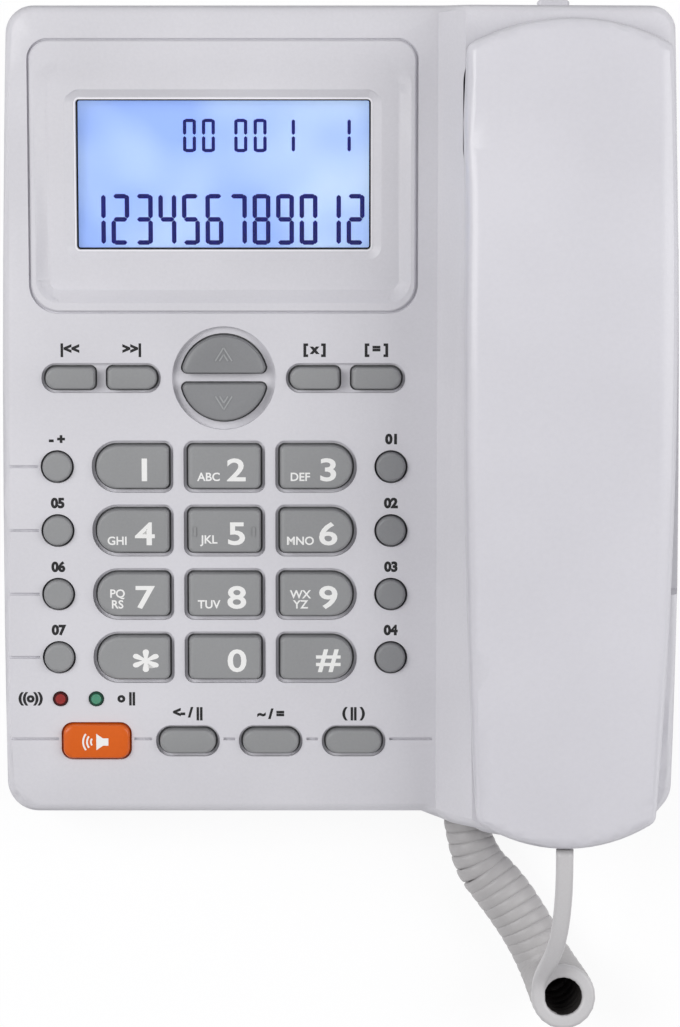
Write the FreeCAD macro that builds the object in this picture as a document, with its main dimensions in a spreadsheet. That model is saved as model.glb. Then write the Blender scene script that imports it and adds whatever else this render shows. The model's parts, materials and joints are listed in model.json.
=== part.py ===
"""Corded desk telephone with a display, a keypad and a handset lying in a side cradle.

The deck frame has u across, v up the slope from the deck's front edge and w out of the deck.
"""
import FreeCAD
import Part
import Sketcher
import math
import os
import re
from FreeCAD import Placement, Rotation, Vector

# Driving dimensions in millimetres and degrees: alias, value, meaning.
SIZES = (
    ("base_width", 172.3, "base across its widest place"),
    ("base_length", 204.4, "base from front edge to rear wall"),
    ("front_edge", 100.1, "front edge of the deck, ahead of the origin"),
    ("side_radius", 4800.0, "bow of the long sides"),
    ("side_widest", 45.0, "widest place of the base, ahead of the origin"),
    ("rear_corner", 7.0, "rear corners seen from above"),
    ("front_corner", 8.0, "front corners seen from above"),
    ("deck_tilt", 8.0, "slope of the deck"),
    ("front_height", 27.0, "deck above the table at its front edge"),
    ("foot_height", 2.5, "underside above the table"),
    ("seam_height", 10.0, "seam between the two housings above the table"),
    ("deck_wall", 2.4, "deck thickness"),
    ("side_wall", 2.4, "side wall thickness"),
    ("floor_wall", 2.4, "thickness of the bottom housing's floor"),
    ("edge_round", 2.0, "easing of the deck's outer edge"),
    ("fit_gap", 0.25, "clearance between pieces that fit in each other"),
    ("tongue_height", 2.0, "tongue of the bottom housing inside the seam"),
    ("tongue_wall", 1.2, "thickness of that tongue"),
    ("tray_round", 1.2, "easing of the tray's lower edge"),
    ("crease", 24.7, "foot of the cradle flank, right of the centre"),
    ("rim_left", 31.2, "top of the cradle flank, right of the centre"),
    ("rim_rise", 9.0, "cradle rim above the deck"),
    ("bulge_from", 21.0, "where the cradle's front bulge starts, right of the centre"),
    ("bulge_centre", 53.4, "middle of the cradle's front bulge"),
    ("bulge_depth", 6.5, "how far the bulge stands ahead of the front edge"),
    ("handset_u", 57.2, "middle of the handset across the base"),
    ("handset_v", 98.5, "middle of the handset along the slope"),
    ("handset_length", 209.4, "handset from end to end"),
    ("handset_width", 52.3, "handset across its widest place"),
    ("handset_bow", 2080.0, "bow of the handset's sides"),
    ("handset_widest", 23.8, "widest place, behind the handset's middle"),
    ("ear_end_radius", 50.0, "rear end of the handset seen from above"),
    ("mouth_end_radius", 40.0, "front end of the handset seen from above"),
    ("handset_corner", 3.0, "corners of the handset seen from above"),
    ("handset_top", 29.0, "crown of the handset above the deck"),
    ("handset_arch", 760.0, "arch of the handset's back along its length"),
    ("handset_crown", 200.0, "crown of the handset's back across its width"),
    ("handset_under", 9.6, "underside of the grip above the deck"),
    ("handset_wall", 2.0, "handset wall thickness"),
    ("handset_round", 1.4, "easing of the handset's upper edge"),
    ("ear_v", 80.5, "middle of the ear cup behind the handset's middle"),
    ("ear_width", 46.0, "ear cup across"),
    ("ear_length", 42.0, "ear cup along the handset"),
    ("ear_round", 12.0, "corners of the ear cup"),
    ("ear_drop", 8.0, "face of the ear cup below the deck"),
    ("mouth_v", 78.0, "middle of the mouth cup ahead of the handset's middle"),
    ("mouth_width", 42.0, "mouth cup across"),
    ("mouth_length", 36.0, "mouth cup along the handset"),
    ("mouth_round", 10.0, "corners of the mouth cup"),
    ("mouth_drop", 6.0, "face of the mouth cup below the deck"),
    ("seat_gap", 0.2, "handset cups above the floors of their wells"),
    ("well_gap", 1.0, "mouth well round its cup"),
    ("ear_well_left", 30.7, "left side of the ear well"),
    ("ear_well_right", 82.4, "right side of the ear well"),
    ("ear_well_length", 44.0, "ear well along the slope"),
    ("ear_well_round", 14.0, "corners of the ear well"),
    ("saddle_left", 34.6, "left side of the finger saddle"),
    ("saddle_drop", 2.0, "finger saddle below the deck"),
    ("saddle_front", 58.0, "front end of the saddle along the slope"),
    ("saddle_rear", 145.0, "rear end of the saddle along the slope"),
    ("keypad_u", -29.5, "middle column of the keypad"),
    ("column_pitch", 23.4, "keypad columns"),
    ("row_pitch", 16.45, "keypad rows"),
    ("first_row", 89.7, "rear row of the keypad along the slope"),
    ("key_width", 18.7, "keypad cap across"),
    ("key_height", 11.3, "keypad cap along the slope"),
    ("key_square", 1.4, "corners of the square cap ends"),
    ("end_flat", 0.4, "straight left at a rounded cap end"),
    ("key_proud", 1.6, "caps above the deck"),
    ("key_gap", 0.35, "clearance round each cap"),
    ("key_flange", 0.85, "retaining flange round each cap"),
    ("flange_wall", 1.0, "flange thickness"),
    ("flange_gap", 0.25, "flange below the deck wall"),
    ("key_travel", 1.2, "stroke of each key"),
    ("key_edge", 0.5, "easing of each cap's upper edge"),
    ("key_recess", 1.05, "shallow recess round each keypad cap"),
    ("recess_depth", 0.7, "depth of the recesses in the deck"),
    ("memory_left", -72.1, "left column of round keys"),
    ("memory_right", 13.0, "right column of round keys"),
    ("memory_radius", 3.9, "round caps"),
    ("nav_v", 112.4, "middle of the two half-round keys along the slope"),
    ("nav_recess", 13.2, "round recess of the half-round keys"),
    ("nav_radius", 11.0, "half-round caps"),
    ("nav_bar", 2.6, "gap between the half-round caps"),
    ("nav_corner", 1.3, "corners of the half-round caps"),
    ("pair_left", -60.7, "middle of the left pair of function keys"),
    ("pair_right", 1.4, "middle of the right pair"),
    ("pair_pitch", 15.7, "function keys within a pair"),
    ("pair_width", 12.8, "function cap across"),
    ("pair_height", 5.8, "function cap along the slope"),
    ("pair_recess", 0.9, "recess round a pair"),
    ("lower_v", 18.5, "lower row of keys along the slope"),
    ("lower_first", -39.2, "first key of the lower row"),
    ("lower_pitch", 21.35, "keys of the lower row"),
    ("lower_width", 14.6, "lower cap across"),
    ("lower_height", 6.4, "lower cap along the slope"),
    ("lower_recess", 0.9, "recess round each lower cap"),
    ("speaker_u", -62.7, "speaker key across"),
    ("speaker_width", 17.4, "speaker cap across"),
    ("speaker_height", 9.1, "speaker cap along the slope"),
    ("speaker_corner", 2.6, "corners of the speaker cap"),
    ("groove_width", 0.7, "lines moulded in the deck"),
    ("groove_depth", 0.4, "depth of those lines"),
    ("groove_end", 1.0, "those lines end before a key or an edge"),
    ("groove_v", 19.0, "long line along the slope"),
    ("lamp_v", 29.5, "lamps along the slope"),
    ("lamp_radius", 1.75, "lamps"),
    ("lamp_proud", 0.6, "lamps above the deck"),
    ("lamp_foot", 0.5, "foot round each lamp"),
    ("ring_lamp_u", -71.9, "lamp at the left"),
    ("use_lamp_u", -62.7, "lamp beside it"),
    ("bezel_v", 163.4, "middle of the display bezel along the slope"),
    ("bezel_width", 98.0, "bezel across"),
    ("bezel_height", 68.8, "bezel along the slope"),
    ("bezel_upper", 5.0, "rear corners of the bezel"),
    ("bezel_lower", 7.3, "front corners of the bezel"),
    ("bezel_flange", 1.5, "bezel flange thickness"),
    ("bezel_proud", 0.35, "bezel above the deck"),
    ("bezel_lip", 3.2, "width of the bezel's flange"),
    ("bezel_depth", 9.4, "back of the bezel below the deck"),
    ("dish_side", 1.2, "bezel rim beside the dish"),
    ("dish_front", 2.2, "bezel rim in front of the dish"),
    ("dish_rear", 5.0, "bezel rim behind the dish"),
    ("dish_wall", 3.4, "sloped wall of the dish seen from above"),
    ("dish_round", 6.0, "corners of the dish"),
    ("dish_tilt", 2.5, "floor of the dish against the deck"),
    ("dish_middle", 1.55, "floor of the dish below the deck at its middle"),
    ("window_width", 74.6, "display window across"),
    ("window_height", 38.0, "display window along the slope"),
    ("window_shift", 0.4, "window behind the bezel's middle"),
    ("window_round", 1.0, "corners of the window"),
    ("window_lip", 0.2, "foot of the bevel inside the window's edge"),
    ("window_bevel", 3.0, "bevel round the window seen from above"),
    ("bevel_depth", 1.6, "depth of that bevel"),
    ("lens_top", 5.2, "display lens below the deck"),
    ("lens_wall", 1.4, "display lens thickness"),
    ("lens_lap", 2.4, "lens beyond the window on each side"),
    ("panel_wall", 2.4, "display cell thickness"),
    ("backlight_wall", 3.0, "backlight thickness"),
    ("stack_gap", 0.1, "between the layers behind the window"),
    ("sheet_drop", 5.3, "keypad sheet below the deck"),
    ("sheet_wall", 1.0, "keypad sheet thickness"),
    ("sheet_inset", 1.0, "keypad sheet inside the board's edge"),
    ("pad_width", 4.4, "raised pad under each key"),
    ("pad_gap", 0.1, "pads below the caps"),
    ("board_wall", 1.6, "circuit board thickness"),
    ("board_width", 98.0, "circuit board across"),
    ("board_front", 11.5, "front of the circuit board along the slope"),
    ("board_rear", 125.0, "rear of the circuit board along the slope"),
    ("board_corner", 3.0, "corners of the circuit board"),
    ("post_radius", 2.0, "posts that carry the board"),
    ("post_pin", 1.1, "pins of those posts"),
    ("post_span", 44.0, "posts across"),
    ("post_rear", 101.0, "rear posts along the slope"),
    ("post_front", 28.5, "front posts along the slope"),
    ("screw_shank", 1.4, "radius of the housing screws"),
    ("screw_head", 2.7, "radius of their heads"),
    ("screw_head_wall", 1.8, "height of their heads"),
    ("screw_length", 10.0, "housing screws under the head"),
    ("boss_radius", 3.2, "screw bosses"),
    ("boss_cover", 2.0, "ceiling left over each screw boss"),
    ("pillar_radius", 4.6, "screw pillars of the floor"),
    ("pillar_height", 8.0, "top of those pillars above the table"),
    ("screw_left", 70.0, "left screws, left of the centre"),
    ("screw_front_right", 12.0, "right front screw, right of the centre"),
    ("screw_rear_right", 22.0, "right rear screw, right of the centre"),
    ("screw_in", 7.5, "front and rear screws inside the base's outline"),
    ("screw_sink", 0.8, "screw heads inside the underside"),
    ("screw_bridge", 1.2, "wall over each screw head in the handset"),
    ("grip_screw", 12.0, "handset screws beyond the cups"),
    ("foot_radius", 6.0, "rubber feet"),
    ("foot_draft", 0.6, "feet narrower at the table"),
    ("foot_inset", 1.0, "feet let into the floor"),
    ("foot_side", 68.0, "feet left and right of the centre"),
    ("foot_front", 78.0, "front feet ahead of the origin"),
    ("foot_rear", 84.0, "rear feet behind the origin"),
    ("tunnel_u", 31.6, "cord tunnel across"),
    ("tunnel_width", 16.4, "cord tunnel between its walls"),
    ("tunnel_top", 15.4, "roof of the cord tunnel above the table"),
    ("tunnel_wall", 1.8, "walls of the cord tunnel"),
    ("tunnel_end", 74.0, "inner end of the tunnel ahead of the origin"),
    ("plug_width", 7.6, "modular plug across"),
    ("plug_height", 5.4, "modular plug thickness"),
    ("plug_length", 13.0, "modular plug"),
    ("plug_out", 5.0, "plug outside its jack"),
    ("plug_proud", 0.3, "handset plug outside the handset's end"),
    ("jack_wall", 1.6, "side walls of the jacks"),
    ("jack_roof", 0.6, "roof and floor of the jacks"),
    ("base_plug_z", 9.7, "middle of the base plug above the table"),
    ("handset_plug_w", 15.5, "middle of the handset plug above the deck"),
    ("line_u", -45.0, "line jack across"),
    ("line_z", 19.0, "middle of the line jack above the table"),
    ("line_width", 9.9, "mouth of the line jack across"),
    ("line_height", 6.9, "mouth of the line jack, its height"),
    ("line_depth", 12.0, "depth of the line jack"),
    ("hook_v", 163.0, "hook plunger along the slope"),
    ("hook_width", 9.0, "hook plunger across"),
    ("hook_height", 7.0, "hook plunger along the slope"),
    ("hook_round", 1.8, "corners of the hook plunger"),
    ("hook_travel", 4.0, "rise of the hook plunger"),
    ("hook_flange", 1.2, "flange of the hook plunger"),
    ("hook_gap", 0.3, "clearance round the hook plunger"),
    ("hook_clear", 1.2, "plunger above its switch"),
    ("hook_edge", 0.6, "easing of the plunger's upper edge"),
    ("switch_width", 12.8, "hook switch across"),
    ("switch_height", 6.5, "hook switch, its height"),
    ("switch_depth", 6.0, "hook switch along the slope"),
    ("switch_round", 0.5, "corners of the hook switch"),
    ("switch_button", 1.4, "radius of its button"),
    ("knob_u", 54.4, "ringer knob across"),
    ("knob_z", 38.0, "ringer knob above the table"),
    ("knob_width", 8.2, "ringer knob across"),
    ("knob_height", 4.0, "ringer knob, its height"),
    ("knob_proud", 4.81, "ringer knob behind the rear wall"),
    ("knob_travel", 2.0, "slide of the ringer knob each way"),
    ("slider_wall", 1.6, "plate of the ringer knob behind the wall"),
    ("slider_lap", 1.4, "that plate round the knob"),
    ("slider_room", 6.0, "room for the plate and the switch behind the wall"),
    ("rail_wall", 1.4, "rails above and below them"),
    ("knob_round", 1.2, "corners of the ringer knob"),
    ("knob_edge", 0.8, "easing of its outer end"),
    ("speaker_x", -30.0, "loudspeaker across"),
    ("speaker_y", 30.0, "loudspeaker behind the origin"),
    ("cone_radius", 25.0, "loudspeaker rim"),
    ("cone_rim", 4.0, "height of the loudspeaker's rim"),
    ("magnet_radius", 11.0, "loudspeaker magnet"),
    ("cone_height", 15.0, "loudspeaker from rim to magnet"),
    ("basket_radius", 18.0, "basket between rim and magnet"),
    ("basket_height", 9.0, "top of that basket"),
    ("slot_width", 2.4, "slots under the loudspeaker"),
    ("slot_pitch", 5.6, "pitch of those slots"),
    ("receiver_radius", 16.0, "receiver in the ear cup"),
    ("receiver_height", 8.0, "receiver, its height"),
    ("mic_radius", 4.9, "microphone in the mouth cup"),
    ("mic_height", 6.6, "microphone, its height"),
    ("capsule_round", 0.8, "upper edges of the capsules"),
    ("grille_hole", 1.0, "holes of the ear cup"),
    ("grille_ring", 5.2, "ring of those holes"),
    ("cord_wire", 1.15, "radius of the handset cord"),
    ("coil_radius", 5.3, "coil of the cord, to the middle of the wire"),
    ("coil_flare", 1.3, "growth of the last turns"),
    ("coil_pitch", 3.2, "turns along the straight of the coil"),
    ("coil_open", 4.7, "turns in the raised end of the coil"),
    ("coil_lift", 6.9, "axis of the coil above the table"),
)
ALIASES = {alias for alias, _, _ in SIZES}
AXIS_Z = Vector(0, 0, 1)

DOC = FreeCAD.newDocument("desk_telephone")
SHEET = DOC.addObject("Spreadsheet::Sheet", "sizes")
for row, (alias, number, meaning) in enumerate(SIZES, start=1):
    SHEET.set(f"A{row}", alias)
    SHEET.set(f"B{row}", str(number))
    SHEET.set(f"C{row}", meaning)
    SHEET.setAlias(f"B{row}", alias)
DOC.recompute()


# Values and bindings


def bind(text):
    """Return the expression with each size addressed on the sheet."""
    return re.sub(
        r"[a-z][a-z0-9_]*",
        lambda word: "sizes." + word.group(0) if word.group(0) in ALIASES else word.group(0),
        text,
    )


def value(text):
    """Return the number that an expression has now."""
    result = SHEET.evalExpression(bind(text))
    return float(getattr(result, "Value", result))


def drive(item, prop, text):
    """Bind one property of an object to an expression."""
    item.setExpression(prop, bind(text))


# Places in the deck frame, as expressions for the row frame

DECK_Y = "(-front_edge + ({v}) * cos(deck_tilt) - ({w}) * sin(deck_tilt))"
DECK_Z = "(front_height + ({v}) * sin(deck_tilt) + ({w}) * cos(deck_tilt))"


def place(item, x="0", y="0", z="0"):
    """Place an object upright in the row frame."""
    for axis, text in zip("xyz", (x, y, z)):
        drive(item, f"Placement.Base.{axis}", text)


def place_on_deck(item, u="0", v="0", w="0"):
    """Place an object in the deck frame."""
    item.Placement = Placement(Vector(), Rotation(Vector(1, 0, 0), value("deck_tilt")))
    drive(item, "Placement.Rotation.Angle", "deck_tilt")
    place(item, u, DECK_Y.format(v=v, w=w), DECK_Z.format(v=v, w=w))


# Sketches


def new_body(label):
    """Return an empty body."""
    body = DOC.addObject("PartDesign::Body", label)
    body.Label = label
    return body


def add_sketch(body, plane="XY_Plane", at=("0", "0", "0"), tilt="0"):
    """Return a sketch on one of the body's own planes, shifted and tilted about its x axis."""
    sketch = body.newObject("Sketcher::SketchObject", "sketch")
    support = next(item for item in body.Origin.OriginFeatures if item.Role == plane)
    sketch.AttachmentSupport = (support, [""])
    sketch.MapMode = "FlatFace"
    sketch.AttachmentOffset = Placement(Vector(), Rotation(Vector(1, 0, 0), value(tilt)))
    if tilt != "0":
        drive(sketch, "AttachmentOffset.Rotation.Angle", tilt)
    for axis, text in zip("xyz", at):
        if text != "0":
            drive(sketch, f"AttachmentOffset.Base.{axis}", text)
    return sketch


def level_sketch(body, height):
    """Return a level sketch over the row's origin, in a body that lies in the deck frame."""
    drop = f"(({height}) - front_height)"
    along = f"front_edge * cos(deck_tilt) + {drop} * sin(deck_tilt)"
    out = f"-front_edge * sin(deck_tilt) + {drop} * cos(deck_tilt)"
    return add_sketch(body, "XY_Plane", ("0", along, out), "-deck_tilt")


def dimension(sketch, kind, ends, text):
    """Add a driven dimension."""
    index = sketch.addConstraint(Sketcher.Constraint(kind, *ends, value(text)))
    sketch.setExpression(f"Constraints[{index}]", bind(text))


def fix_point(sketch, curve, end, x, y):
    """Tie a point of a curve to expressions for its place."""
    for kind, text, axis in (("DistanceX", x, -2), ("DistanceY", y, -1)):
        number = value(text)
        if abs(number) < 1e-9:
            sketch.addConstraint(Sketcher.Constraint("PointOnObject", curve, end, axis))
        elif number > 0:
            dimension(sketch, kind, (-1, 1, curve, end), text)
        else:
            dimension(sketch, kind, (curve, end, -1, 1), f"-({text})")


def circle(sketch, radius, x="0", y="0"):
    """Draw a circle."""
    shape = Part.Circle(Vector(value(x), value(y), 0), AXIS_Z, value(radius))
    index = sketch.addGeometry(shape, False)
    fix_point(sketch, index, 3, x, y)
    dimension(sketch, "Radius", (index,), radius)


def polygon(sketch, corners):
    """Draw a closed polygon through corners given as expressions."""
    points = [Vector(value(x), value(y), 0) for x, y in corners]
    lines = []
    for start, end in zip(points, points[1:] + points[:1]):
        lines.append(sketch.addGeometry(Part.LineSegment(start, end), False))
    for line, following in zip(lines, lines[1:] + lines[:1]):
        sketch.addConstraint(Sketcher.Constraint("Coincident", line, 2, following, 1))
    for line, (x, y) in zip(lines, corners):
        fix_point(sketch, line, 1, x, y)


def rectangle(sketch, left, front, right, rear):
    """Draw a rectangle between four expressions."""
    polygon(sketch, ((left, front), (right, front), (right, rear), (left, rear)))


def arc_through(centre, radius, start, end):
    """Return the counter-clockwise arc between two points."""
    first = math.atan2(start.y - centre.y, start.x - centre.x)
    last = math.atan2(end.y - centre.y, end.x - centre.x)
    if last <= first:
        last += 2 * math.pi
    return Part.ArcOfCircle(Part.Circle(centre, AXIS_Z, radius), first, last)


def chain(sketch, curves, sharp=()):
    """Draw a closed chain of curves, tangent from each to the next apart from the sharp ones."""
    numbers = [sketch.addGeometry(curve, False) for curve in curves]
    for number, following in zip(numbers, numbers[1:] + numbers[:1]):
        kind = "Coincident" if number - numbers[0] in sharp else "Tangent"
        sketch.addConstraint(Sketcher.Constraint(kind, number, 2, following, 1))
    return numbers


def rounded(sketch, corners):
    """Draw a convex outline from its corner arcs: centre x, centre y and radius, counter-clockwise."""
    centres = [Vector(value(x), value(y), 0) for x, y, _ in corners]
    radii = [value(radius) for _, _, radius in corners]
    count = len(corners)
    leave = [None] * count
    meet = [None] * count
    for here in range(count):
        after = (here + 1) % count
        run = centres[after] - centres[here]
        share = (radii[here] - radii[after]) / run.Length
        run.normalize()
        side = Vector(run.y, -run.x, 0) * math.sqrt(1 - share * share) + run * share
        leave[here] = centres[here] + side * radii[here]
        meet[after] = centres[after] + side * radii[after]
    curves = []
    for here in range(count):
        curves.append(arc_through(centres[here], radii[here], meet[here], leave[here]))
        curves.append(Part.LineSegment(leave[here], meet[(here + 1) % count]))
    numbers = chain(sketch, curves)
    for arc, (x, y, radius) in zip(numbers[::2], corners):
        fix_point(sketch, arc, 3, x, y)
        dimension(sketch, "Radius", (arc,), radius)


def slab(sketch, width, height, rounds, grow="0", x="0", y="0"):
    """Draw a rounded rectangle; rounds are right front, right rear, left rear and left front."""
    signs = ((1, -1), (1, 1), (-1, 1), (-1, -1))
    corners = []
    for (across, along), radius in zip(signs, rounds):
        corner_x = f"({x}) + {across} * (({width}) / 2 - ({radius}))"
        corner_y = f"({y}) + {along} * (({height}) / 2 - ({radius}))"
        corners.append((corner_x, corner_y, f"({radius}) + ({grow})"))
    rounded(sketch, corners)


# Features


def extrude(body, kind, sketch, length, back=False, symmetric=False, taper=None):
    """Add a Pad or a Pocket and return it."""
    feature = body.newObject("PartDesign::" + kind, kind.lower())
    feature.Profile = sketch
    drive(feature, "Length", length)
    feature.Reversed = back
    feature.Refine = False
    if symmetric:
        feature.SideType = "Symmetric"
    if taper:
        drive(feature, "TaperAngle", taper)
    body.Tip = feature
    return feature


def repeat(body, feature, sketch, axis, pitch, count, back=False):
    """Repeat a feature along one axis of its sketch."""
    pattern = body.newObject("PartDesign::LinearPattern", "pattern")
    pattern.Originals = [feature]
    pattern.Direction = (sketch, [axis])
    pattern.Reversed = back
    pattern.Refine = False
    drive(pattern, "Length", f"({pitch}) * {count - 1}")
    pattern.Occurrences = count
    body.Tip = pattern
    return pattern


def loft_cut(body, first, last):
    """Cut a loft between two sketches."""
    feature = body.newObject("PartDesign::SubtractiveLoft", "dish")
    feature.Profile = first
    feature.Sections = [last]
    body.Tip = feature
    return feature


def ease_edges(body, size, wanted):
    """Take off the edges of a body's tip that a test picks."""
    DOC.recompute([body])
    tip = body.Tip
    edges = enumerate(tip.Shape.Edges, start=1)
    names = [f"Edge{number}" for number, edge in edges if wanted(tip.Shape, edge)]
    feature = body.newObject("PartDesign::Chamfer", "easing")
    feature.Base = (tip, names)
    drive(feature, "Size", size)
    body.Tip = feature
    return feature


def edge_at(height):
    """Return a test for edges that lie wholly at one height of their body."""

    def wanted(shape, edge):
        box = edge.BoundBox
        return abs(box.ZMin - height) < 1e-4 and abs(box.ZMax - height) < 1e-4

    return wanted


def cylinder(name, radius, height, x="0", y="0", z="0"):
    """Return an upright cylinder in the row frame."""
    item = DOC.addObject("Part::Cylinder", name)
    drive(item, "Radius", radius)
    drive(item, "Height", height)
    place(item, x, y, z)
    return item


def box(name, size, x, y, z):
    """Return a box in the row frame, from its left front lower corner."""
    item = DOC.addObject("Part::Box", name)
    for prop, text in zip(("Length", "Width", "Height"), size):
        drive(item, prop, text)
    place(item, x, y, z)
    return item


def fuse(label, pieces):
    """Return the union of objects."""
    item = DOC.addObject("Part::MultiFuse", label)
    item.Shapes = list(pieces)
    item.Label = label
    return item


def cut(label, base, tool):
    """Return one object less another."""
    item = DOC.addObject("Part::Cut", label)
    item.Base = base
    item.Tool = tool
    item.Label = label
    return item


def common(label, base, tool):
    """Return what two objects share."""
    item = DOC.addObject("Part::Common", label)
    item.Base = base
    item.Tool = tool
    item.Label = label
    return item


def together(label, pieces):
    """Return separate solids as one object."""
    item = DOC.addObject("Part::Compound", label)
    item.Links = list(pieces)
    item.Label = label
    return item


def inside_tangent(first, first_radius, second, second_radius, near):
    """Return the centre at given distances from two points, the one nearer to a third."""
    run = second - first
    along = (first_radius ** 2 - second_radius ** 2 + run.Length ** 2) / (2 * run.Length)
    height = math.sqrt(max(first_radius ** 2 - along ** 2, 0))
    run.normalize()
    foot = first + run * along
    choices = [foot + Vector(-run.y, run.x, 0) * height, foot - Vector(-run.y, run.x, 0) * height]
    return min(choices, key=lambda point: (point - near).Length)


def touch(big_centre, big_radius, small_centre):
    """Return where a circle inside a larger one touches it."""
    run = small_centre - big_centre
    run.normalize()
    return big_centre + run * big_radius


# Base outline and block

BULGE_RADIUS = "((bulge_centre - bulge_from)^2 + bulge_depth^2) / (2 * bulge_depth)"


def base_outline(sketch, inset):
    """Draw the plan of the base, moved in by an inset, round the row's origin."""
    gap = value(inset)
    side = value("side_radius") - gap
    reach = value("side_radius - base_width / 2")
    left = Vector(reach, -value("side_widest"), 0)
    right = Vector(-reach, -value("side_widest"), 0)
    rear_y = value("base_length - front_edge") - gap
    front_y = gap - value("front_edge")
    bulge_r = value(BULGE_RADIUS) - gap
    bulge = Vector(value("bulge_centre"), value(f"-front_edge - bulge_depth + {BULGE_RADIUS}"), 0)
    rear_r = value("rear_corner") - gap
    front_r = value("front_corner") - gap
    half = value("base_width / 2")

    def corner_beside(centre, line_y, radius, sign):
        height = line_y - centre.y
        return Vector(centre.x + sign * math.sqrt((side - radius) ** 2 - height ** 2), line_y, 0)

    rear_left = corner_beside(left, rear_y - rear_r, rear_r, -1)
    rear_right = corner_beside(right, rear_y - rear_r, rear_r, 1)
    front_left = corner_beside(left, front_y + front_r, front_r, -1)
    front_right = inside_tangent(
        right, side - front_r, bulge, bulge_r - front_r, Vector(half, -value("front_edge"), 0)
    )
    join = Vector(bulge.x - math.sqrt(bulge_r ** 2 - (bulge.y - front_y) ** 2), front_y, 0)
    up = Vector(0, 1, 0)
    curves = [
        Part.LineSegment(front_left - up * front_r, join),
        arc_through(bulge, bulge_r, join, touch(bulge, bulge_r, front_right)),
        arc_through(
            front_right, front_r, touch(bulge, bulge_r, front_right), touch(right, side, front_right)
        ),
        arc_through(right, side, touch(right, side, front_right), touch(right, side, rear_right)),
        arc_through(rear_right, rear_r, touch(right, side, rear_right), rear_right + up * rear_r),
        Part.LineSegment(rear_right + up * rear_r, rear_left + up * rear_r),
        arc_through(rear_left, rear_r, rear_left + up * rear_r, touch(left, side, rear_left)),
        arc_through(left, side, touch(left, side, rear_left), touch(left, side, front_left)),
        arc_through(front_left, front_r, touch(left, side, front_left), front_left - up * front_r),
    ]
    numbers = chain(sketch, curves, sharp=(0,))
    front, nose, corner_a, east, corner_b, rear, corner_c, west, corner_d = numbers
    for line in (front, rear):
        sketch.addConstraint(Sketcher.Constraint("Horizontal", line))
    for arc in (corner_a, corner_d):
        dimension(sketch, "Radius", (arc,), f"front_corner - ({inset})")
    for arc in (corner_b, corner_c):
        dimension(sketch, "Radius", (arc,), f"rear_corner - ({inset})")
    for arc, sign in ((west, ""), (east, "-")):
        dimension(sketch, "Radius", (arc,), f"side_radius - ({inset})")
        fix_point(sketch, arc, 3, f"{sign}(side_radius - base_width / 2)", "-side_widest")
    dimension(sketch, "Radius", (nose,), f"{BULGE_RADIUS} - ({inset})")
    fix_point(sketch, nose, 3, "bulge_centre", f"-front_edge - bulge_depth + {BULGE_RADIUS}")
    dimension(sketch, "DistanceY", (front, 1, -1, 1), f"front_edge - ({inset})")
    dimension(sketch, "DistanceY", (-1, 1, rear, 1), f"base_length - front_edge - ({inset})")


FLANK_SHIFT = "({drop}) * tan(atan(rim_rise / (rim_left - crease)) / 2)"
FAR = "base_length"


def housing_block(label, inset, drop, bottom):
    """Return the base above a level, its walls moved in and its deck lowered."""
    body = new_body(label)
    place_on_deck(body)
    profile = add_sketch(body, "XZ_Plane")
    shift = FLANK_SHIFT.format(drop=drop)
    polygon(
        profile,
        (
            (f"-{FAR}", f"-{FAR}"),
            (FAR, f"-{FAR}"),
            (FAR, f"rim_rise - ({drop})"),
            (f"rim_left + {shift}", f"rim_rise - ({drop})"),
            (f"crease + {shift}", f"-({drop})"),
            (f"-{FAR}", f"-({drop})"),
        ),
    )
    extrude(body, "Pad", profile, f"3 * {FAR}", symmetric=True)
    outside = level_sketch(body, "seam_height")
    base_outline(outside, inset)
    rectangle(outside, f"-2 * {FAR}", f"-2 * {FAR}", f"2 * {FAR}", f"2 * {FAR}")
    extrude(body, "Pocket", outside, f"4 * {FAR}", symmetric=True)
    below = level_sketch(body, bottom)
    rectangle(below, f"-2 * {FAR}", f"-2 * {FAR}", f"2 * {FAR}", f"2 * {FAR}")
    extrude(body, "Pocket", below, f"4 * {FAR}")
    return body


def cut_cradle(body, grow, drop):
    """Cut the two wells and the finger saddle, grown sideways and downwards."""
    depth = f"rim_rise + ({drop})"
    ear = add_sketch(
        body, at=("(ear_well_left + ear_well_right) / 2", "handset_v + ear_v", "rim_rise + 1")
    )
    width = "ear_well_right - ear_well_left"
    slab(ear, width, "ear_well_length", ["ear_well_round"] * 4, grow)
    extrude(body, "Pocket", ear, f"1 + {depth} + ear_drop + seat_gap")
    mouth = add_sketch(body, at=("handset_u", "handset_v - mouth_v", "rim_rise + 1"))
    slab(mouth, "mouth_width", "mouth_length", ["mouth_round"] * 4, f"well_gap + ({grow})")
    extrude(body, "Pocket", mouth, f"1 + {depth} + mouth_drop + seat_gap")
    saddle = add_sketch(body, at=("0", "0", "rim_rise + 1"))
    rectangle(
        saddle,
        f"saddle_left - ({grow})",
        f"saddle_front - ({grow})",
        FAR,
        f"saddle_rear + ({grow})",
    )
    extrude(body, "Pocket", saddle, f"1 + {depth} + saddle_drop")


# Outlines of the keys, each grown by an expression

ROUND_END = "({height} - end_flat) / 2"


def keypad_outline(column):
    """Return the outline of a keypad cap; the outer columns have one rounded end."""
    round_end = ROUND_END.format(height="key_height")
    right = round_end if column > 0 else "key_square"
    left = round_end if column < 0 else "key_square"

    def draw(sketch, grow):
        slab(sketch, "key_width", "key_height", (right, right, left, left), grow)

    return draw


def stadium_outline(width, height):
    """Return the outline of a cap with two rounded ends."""
    ends = [ROUND_END.format(height=height)] * 4

    def draw(sketch, grow):
        slab(sketch, width, height, ends, grow)

    return draw


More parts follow.
